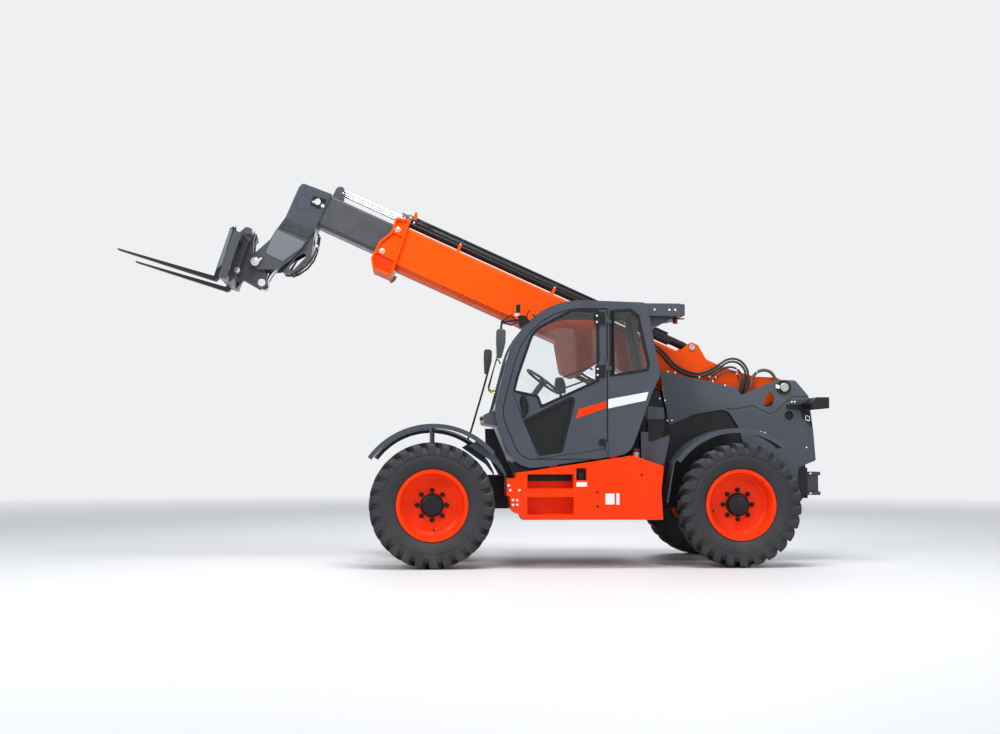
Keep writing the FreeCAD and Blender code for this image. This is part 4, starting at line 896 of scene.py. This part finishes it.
# %% Mirrors, rails, wipers and small lamps
stripe = Piece("pillar_stripe").use(white)
stripe.plate([(-1242, 1653), (-1643, 1727), (-1616, 1642), (-1242, 1562)], 1100.0, 1101.0)
stripe.make("chassis", "slate")

shells = Piece("mirror_shells").use(plastic)
soft_plate(shells, rounded([(-140, 2334, 26), (-226, 2328, 26), (-224, 2190, 60), (-186, 2044, 18), (-142, 2050, 18),
                            (-136, 2234, 90)]),
           ((1112, -14), (1114, -6), (1122, 0), (1188, 0), (1196, -6), (1199, -14)))
shells.use(mirror_glass).plate([(-230, 2310), (-227, 2310), (-225, 2196), (-192, 2066), (-195, 2064), (-229, 2192)],
                               1126, 1186)
shells.use(black)
for y, z in ((1128, 2240), (1184, 2240), (1128, 2110), (1184, 2110)):
    shells.disc((-176, y, z), AXIS_Z, 5, 6, 1.0, 10)
shells.mirrored()
shells.pipe([(-420, 1060, 2440), (-340, 1092, 2428), (-250, 1128, 2412), (-200, 1146, 2398), (-186, 1152, 2370),
             (-184, 1154, 2300)], 11)
band(shells, rounded([(-171, 2398, 8), (-288, 2478, 8), (-350, 2404, 8), (-288, 2368, 8)]), 3, 11, 1146, 1152)
shells.pipe([(60, -1060, 1262), (10, -1080, 1400), (-120, -1124, 1840), (-176, -1146, 2040), (-180, -1150, 2090)], 12)
shells.make("chassis", "black", bevel=0.8, stands_for=["mirrors"])

rails = Piece("cab_rails").use(black)
for radius, route in (
        (7, [(-182, 1050, 1998), (-176, 1050, 2024), (-158, 1050, 2044), (-142, 1050, 2030), (-66, 1050, 1772),
             (-72, 1050, 1750), (-92, 1050, 1738), (-126, 1050, 1737)]),
        (5, [(-154, 1000, 2081), (-112, 1000, 1910), (-70, 1000, 1740)]),
        (6, [(-70, 1000, 1740), (-104, 1000, 1728), (-134, 1000, 1712), (-122, 1000, 1640), (-79, 1000, 1520)]),
        (6, [(-437, 1108, 2452), (-444, 1112, 2480), (-458, 1112, 2506), (-474, 1110, 2526)]),
        (6, [(-492, 1108, 2484), (-508, 1112, 2476), (-534, 1110, 2463)])):
    rails.pipe(route, radius)
rails.plate([(-351, 2477), (-437, 2473), (-471, 2413), (-369, 2337)], 1100, 1105)
soft_plate(rails, rounded([(-377, 2500, 8), (-377, 2582, 14), (-335, 2582, 14), (-335, 2500, 8)]),
           ((1080, -6), (1084, 0), (1122, 0), (1128, -5)))
rails.use(white).plate(rounded([(-366, 2468, 5), (-366, 2500, 5), (-322, 2492, 5), (-322, 2468, 5)]), 1096, 1112)
rails.make("chassis", "black", bevel=0.6)

small_lamps = Piece("small_lamps").use(marker_lens)
small_lamps.turn((-128, 1084, 1722), (1, 0, 0.12), [(0, 0), (0, 15), (44, 17), (52, 12), (52, 0)], 24)
small_lamps.use(amber_lens).disc((-18, 800, 1471), AXIS_X, 21, 25, 5, 28)
small_lamps.use(red_lens).turn((-1974, 805, 2434), AXIS_Z, [(0, 0), (0, 18), (6, 25), (44, 25), (44, 0)], 28)
small_lamps.use(zinc).discs(1040, ((-1721, 2549), (-1871, 2547), (-1929, 2547)), 11, 4)
small_lamps.make("chassis", "black", bevel=0.6)
print("cab fittings ready")

# %% [markdown]
# The driver's seat is padded, so it isn't cut like a block. Each pad starts as a slightly small closed form, is
# turned into even small facets, and is blown up a little as cloth under pressure. The sewn channels are pressed in
# after that, because the remeshing would lose them.

# %% The driver's seat
CLOTH_FRAMES, PRESSURE, MOST_GROWTH = 20, 4.0, 10 * MM
FACET = 9 * MM
CHANNEL_DEPTH, CHANNEL_WIDTH, NO_SEAM = 6.0, 8.0, 99.0


def evaluated(made):
    """The mesh as the object's modifiers leave it."""
    return bpy.data.meshes.new_from_object(made.evaluated_get(bpy.context.evaluated_depsgraph_get()))


def settle(made, kind, **values):
    """Adds one modifier, sets it, and puts its result in the object's mesh."""
    modifier = made.modifiers.new(kind.lower(), kind)
    for name, value in values.items():
        setattr(modifier, name, value)
    made.data = evaluated(made)
    made.modifiers.clear()


def inflate(made):
    """Cloth under pressure without gravity; no point may move further than the most growth."""
    start = [v.co.copy() for v in made.data.vertices]
    cloth = made.modifiers.new("cloth", "CLOTH")
    cloth.settings.use_pressure = True
    cloth.settings.uniform_pressure_force = PRESSURE
    cloth.settings.effector_weights.gravity = 0.0
    cloth.point_cache.frame_end = CLOTH_FRAMES
    for step in range(1, CLOTH_FRAMES + 1):
        bpy.context.scene.frame_set(step)
    made.data = evaluated(made)
    made.modifiers.clear()
    for vertex, before in zip(made.data.vertices, start):
        move = vertex.co - before
        if move.length > MOST_GROWTH:
            vertex.co = before + move.normalized() * MOST_GROWTH
    bpy.context.scene.frame_set(1)


def press(made, distance_to_seam):
    """Sewn channels: points near a seam sink along their normal."""
    normals = [vertex.normal.copy() for vertex in made.data.vertices]
    for vertex, normal in zip(made.data.vertices, normals):
        near = distance_to_seam(vertex.co / MM)
        vertex.co -= normal * CHANNEL_DEPTH * MM * math.exp(-(near / CHANNEL_WIDTH) ** 2)


def pad(name, rings, distance_to_seam):
    made = Piece(name).use(seat_cloth).loft(rings).make("chassis", "fabric")
    settle(made, "REMESH", mode="VOXEL", voxel_size=FACET)
    inflate(made)
    settle(made, "SUBSURF", levels=1, render_levels=1)
    press(made, distance_to_seam)
    made.data.polygons.foreach_set("use_smooth", [True] * len(made.data.polygons))
    if not made.data.materials:
        made.data.materials.append(seat_cloth)


def soft_square(half_u, half_v, steps=48):
    """An outline between a square and a circle, whose sides pull in a little between the corners."""
    points = []
    for a in angles(steps):
        reach = 1.0 / (abs(math.cos(a)) ** 5 + abs(math.sin(a)) ** 5) ** 0.2
        reach *= 1.0 - 0.018 * abs(math.cos(2 * a))
        points.append((half_u * reach * math.cos(a), half_v * reach * math.sin(a)))
    return points


# height and inset of each ring
CUSHION_RINGS = [(1404, 34), (1410, 20), (1430, 12), (1462, 10), (1486, 18), (1500, 40), (1507, 84), (1510, 140)]
pad("seat_cushion", [[(-1065 + u, 680 + v, z + 0.02 * u) for u, v in soft_square(262 - inset, 246 - inset)]
                     for z, inset in CUSHION_RINGS],
    lambda p: min(abs(p.y - 590), abs(p.y - 770), abs(p.x + 1210)) if p.z > 1480 else NO_SEAM)

# distance from the back plane and inset of each ring
BACK_RINGS = [(10, 30), (18, 18), (40, 12), (74, 10), (98, 20), (112, 46), (118, 96)]
BACK_FOOT, BACK_HEIGHT = Vector((-1262, 680, 1522)), 612
BACK_UP, BACK_OUT = Vector((-0.146, 0, 0.989)), Vector((0.989, 0, 0.146))
back = []
for depth, inset in BACK_RINGS:
    ring = []
    for u, v in soft_square(228 - inset, 296 - inset):
        up = v + BACK_HEIGHT / 2
        ring.append(BACK_FOOT + BACK_UP * up + BACK_OUT * depth * (1.14 - 0.22 * up / BACK_HEIGHT)
                    + Vector((0, u * (1.0 - 0.12 * up / BACK_HEIGHT), 0)))
    back.append(ring)
pad("seat_back", back, lambda p: min(abs(p.y - 600), abs(p.y - 760), abs(p.z - 1720), abs(p.z - 1960))
    if (p - BACK_FOOT).dot(BACK_OUT) > 60 else NO_SEAM)

seat_base = Piece("seat_base").use(black).block(-1230, -880, 500, 860, 1352, 1399)
seat_base.plate([(-1200, 1130), (-900, 1010), (-900, 1352), (-1200, 1352)], 540, 820).use(rubber_bellows)
for z in (1250, 1285, 1320):
    seat_base.loft([[(x, y, z + d) for x, y in ((-1215 + e, 525 - e), (-885 - e, 525 - e), (-885 - e, 835 + e),
                                                (-1215 + e, 835 + e))] for d, e in ((-16, 8), (0, -8), (16, 8))])
seat_base.make("chassis", "plastic", bevel=3.0, stands_for=["seat"])

console = Piece("arm_console").use(plastic)
soft_plate(console, rounded([(-1180, 1560, 20), (-1180, 1640, 20), (-820, 1672, 30), (-740, 1640, 30),
                             (-740, 1590, 20)]), ((312, -6), (316, 0), (404, 0), (412, -8)))
console.use(black).pipe([(-860, 366, 1650), (-862, 366, 1700), (-852, 366, 1760)], 16)
soft_plate(console, rounded([(-912, 1742, 20), (-908, 1840, 30), (-880, 1914, 24), (-800, 1916, 30), (-790, 1830, 30),
                             (-816, 1752, 20)]), ((322, -16), (334, -4), (366, 0), (398, -4), (410, -16)))
console.pipe([(-1180, 420, 1700), (-1184, 420, 1868), (-1150, 420, 1892), (-890, 420, 1800)], 9)
console.pipe([(-1184, 420, 1990), (-1150, 420, 2012), (-880, 420, 1914)], 9)
for x in (-900, -940, -980):
    console.pipe([(x, 362, 1655), (x + 4, 362, 1690)], 6)
    console.turn((x + 4, 362, 1688), AXIS_Z, [(0, 6), (4, 12), (14, 13), (20, 8), (20, 0)], 16)
console.make("chassis", "plastic", bevel=1.0)
print("seat and console ready")

# %% [markdown]
# The sill box below the door shows its steps, drains, filler and blank labels. Between the cab and the rear wheel
# stand the bracket of the valve box and the oil filter with its red cap.

# %% Sill, filter and valve box
SILL_Y = 1120.0
sill = Piece("sill_details").use(black)
for x, z in ((-1127, 744), (-1130, 607)):
    for half_x, half_z in ((17, 4), (4, 17)):
        sill.block(x - half_x, x + half_x, SILL_Y, SILL_Y + 0.8, z - half_z, z + half_z)
sill.use(white)
for box in ((-1296, -1207, 626, 732), (-1344, -1314, 622, 735), (-1026, -923, 799, 843)):
    sill.plate(rectangle(*box, 4, steps=2), SILL_Y, SILL_Y + 0.7)
sill.discs(SILL_Y, ((-261, 811), (-277, 765), (-303, 670), (-345, 670), (-303, 624), (-345, 624), (-365, 765)),
           12, 5, 1.5, 20)
sill.use(black)
sill.plate(rounded([(-1020, 863, 10), (-924, 863, 10), (-924, 978, 40), (-1020, 978, 40)]), 1062.0, 1064.0)
sill.turn((-972, 1064, 900), AXIS_Y, [(0, 0), (0, 34), (30, 32), (34, 26), (34, 0)], 28)
# A black plate at the back of the step slot and a black disc for a hole: painted shade.
sill.block(-893, -445, 962.0, 964.0, 850, 917).disc((-1565, SILL_Y, 913), AXIS_Y, 13, 2, 0.5, 20)
sill.make("chassis", "orange", bevel=0.5)

filter_can = Piece("oil_filter").use(steel)
filter_can.turn((-1530, 960, 1041), AXIS_Z, [(0, 0), (0, 38), (5, 43), (96, 43), (96, 0)], 36)
filter_can.use(black).turn((-1530, 960, 1137), AXIS_Z, [(0, 0), (0, 45), (12, 45), (12, 0)], 36)
# The cap takes the red lens finish, and with it the same faint painted glow.
filter_can.use(red_lens).disc((-1530, 960, 1149), AXIS_Z, 47, 20, 6, 36)
filter_can.make("chassis", "chrome", bevel=0.8)

valve_box = Piece("valve_box_covers").use(slate)
valve_box.plate([(-1701, 1236), (-1884, 1305), (-1884, 1261), (-1829, 1010), (-1640, 1068)], 900.0, 903.0)
valve_box.plate([(-1670, 1596), (-1834, 1579), (-1833, 1466), (-1669, 1466)], 770.0, 902.0)
valve_box.use(black).block(-1830, -1672, 774, 898, 1340, 1466).block(-1814, -1672, 899, 901, 1240, 1340)
valve_box.make("chassis", "slate", bevel=0.8)

# Black sheets close the see-through gaps beside the cab: painted shade of the machine's inside.
shade_sheets = Piece("gap_shade_sheets").use(black)
shade_sheets.plate([(-50, 1372), (-58, 1140), (-135, 1000), (-190, 905), (-330, 884), (-318, 950), (-232, 1150),
              (-140, 1372)], 716.0, 720.0)
shade_sheets.plate([(-1495, 960), (-1540, 1130), (-1745, 1640), (-1790, 1745), (-1900, 1790), (-1980, 1500),
              (-1950, 1100), (-1850, 960)], 304.0, 308.0)
shade_sheets.make("chassis", "black", bevel=0.8)
print("sill and filter ready")

# %% [markdown]
# The tall side plates carry the boom pin with its black ring and bright end, a row of small screws and the long
# seam where the upper plate laps over the lower one. Below them the tow hitch has covers on both sides.

# %% Side plates
PANEL_Y = 345.0
panel = Piece("side_plate_details").use(black)
strip(panel, [(-2610, 1596), (-2665, 1589), (-2773, 1604), (-2875, 1628), (-2961, 1590), (-3054, 1544),
              (-3125, 1560), (-3220, 1652), (-3322, 1727), (-3464, 1723)], 8, PANEL_Y, PANEL_Y + 0.8)
panel.turn((-3214, 357, 1818), AXIS_Y, [(0, 44), (0, 76), (2, 76), (2, 44)], 48)
panel.disc((-3266, 322, 1525), AXIS_Y, 47.5, 2, 0.5, 36)
panel.use(zinc)
panel.discs(PANEL_Y, ((-1986, 1981), (-2063, 1972), (-2318, 1923), (-2461, 1881), (-2590, 1838), (-1897, 1698),
                      (-1952, 1680), (-1924, 1575), (-1977, 1468), (-2023, 1471), (-2965, 1352), (-3004, 1344),
                      (-3447, 1191)), 9, 4)
panel.use(steel).turn((-3214, 352, 1818), AXIS_Y, [(0, 0), (0, 46), (28, 46), (31, 42), (31, 0)], 40)
panel.use(zinc).plate(rounded([(-3168, 1802, 8), (-3168, 1838, 8), (-3124, 1852, 8), (-3124, 1816, 8)]), 357, 364)
panel.bolt((-3140, 364, 1832), AXIS_Y, 18, False).discs(PANEL_Y, ((-3298, 1667), (-3329, 1667)), 10, 4)
panel.use(black).plate([(-3384, 1588), (-3496, 1560), (-3512, 1400), (-3404, 1500)], PANEL_Y, 349.0)
panel.use(zinc).plate(rounded([(-3436, 1530, 8), (-3482, 1516, 8), (-3482, 1462, 8), (-3436, 1476, 8)], 3), 349, 362)
panel.use(clear_lens).plate(rounded([(-3442, 1522, 6), (-3476, 1512, 6), (-3476, 1470, 6), (-3442, 1482, 6)], 3),
                            362, 366)
panel.mirrored().make("chassis", "black", bevel=0.5)

hitch_cover = Piece("tow_hitch_covers").use(slate).block(-3668, -3500, 90.5, 94, 896, 934)
hitch_cover.block(-3668, -3500, 90.5, 94, 686, 724).block(-3640, -3505, 76, 79, 730, 890)
hitch_cover.use(zinc).discs(94, ((-3560, 915), (-3560, 705)), 12, 5, 1.5, 20)
hitch_cover.mirrored().make("chassis", "slate", bevel=1.0)
print("side plates ready")

# %% [markdown]
# The engine side isn't in the photo. Its hood gets what such hoods have: a framed vent with slanted slats, two
# latches along the lower edge, and a dark grip between them.

# %% Engine hood
HOOD_Y, SLATS, SLAT_PITCH = -1110, 11, 24
LATCHES = (-1500, -700)
vent = Piece("hood_vent").use(black).block(-1610, -1190, -1112, HOOD_Y, 1050, 1330).use(slate)
band(vent, rectangle(-1612, -1188, 1048, 1332, 14), 10, 6, -1118, HOOD_Y)
for k in range(SLATS):
    z = 1068 + SLAT_PITCH * k
    vent.loft([[(x, -1111, z + 14), (x, -1116, z + 13), (x, -1120, z), (x, -1117, z)] for x in (-1606, -1194)])
vent.use(black).plate(rectangle(-1180, -1020, 930, 960, 12, steps=3), -1122, HOOD_Y)
for x in LATCHES:
    vent.use(black).plate(rectangle(x - 34, x + 34, 925, 985, 8, steps=3), -1115, HOOD_Y)
    vent.use(zinc).disc((x, -1115, 955), -AXIS_Y, 16, 5, 1.5, 24).block(x - 4, x + 4, -1127, -1120, 941, 969)
vent.make("hood", "slate", bevel=0.8)
print("hood trimmed")
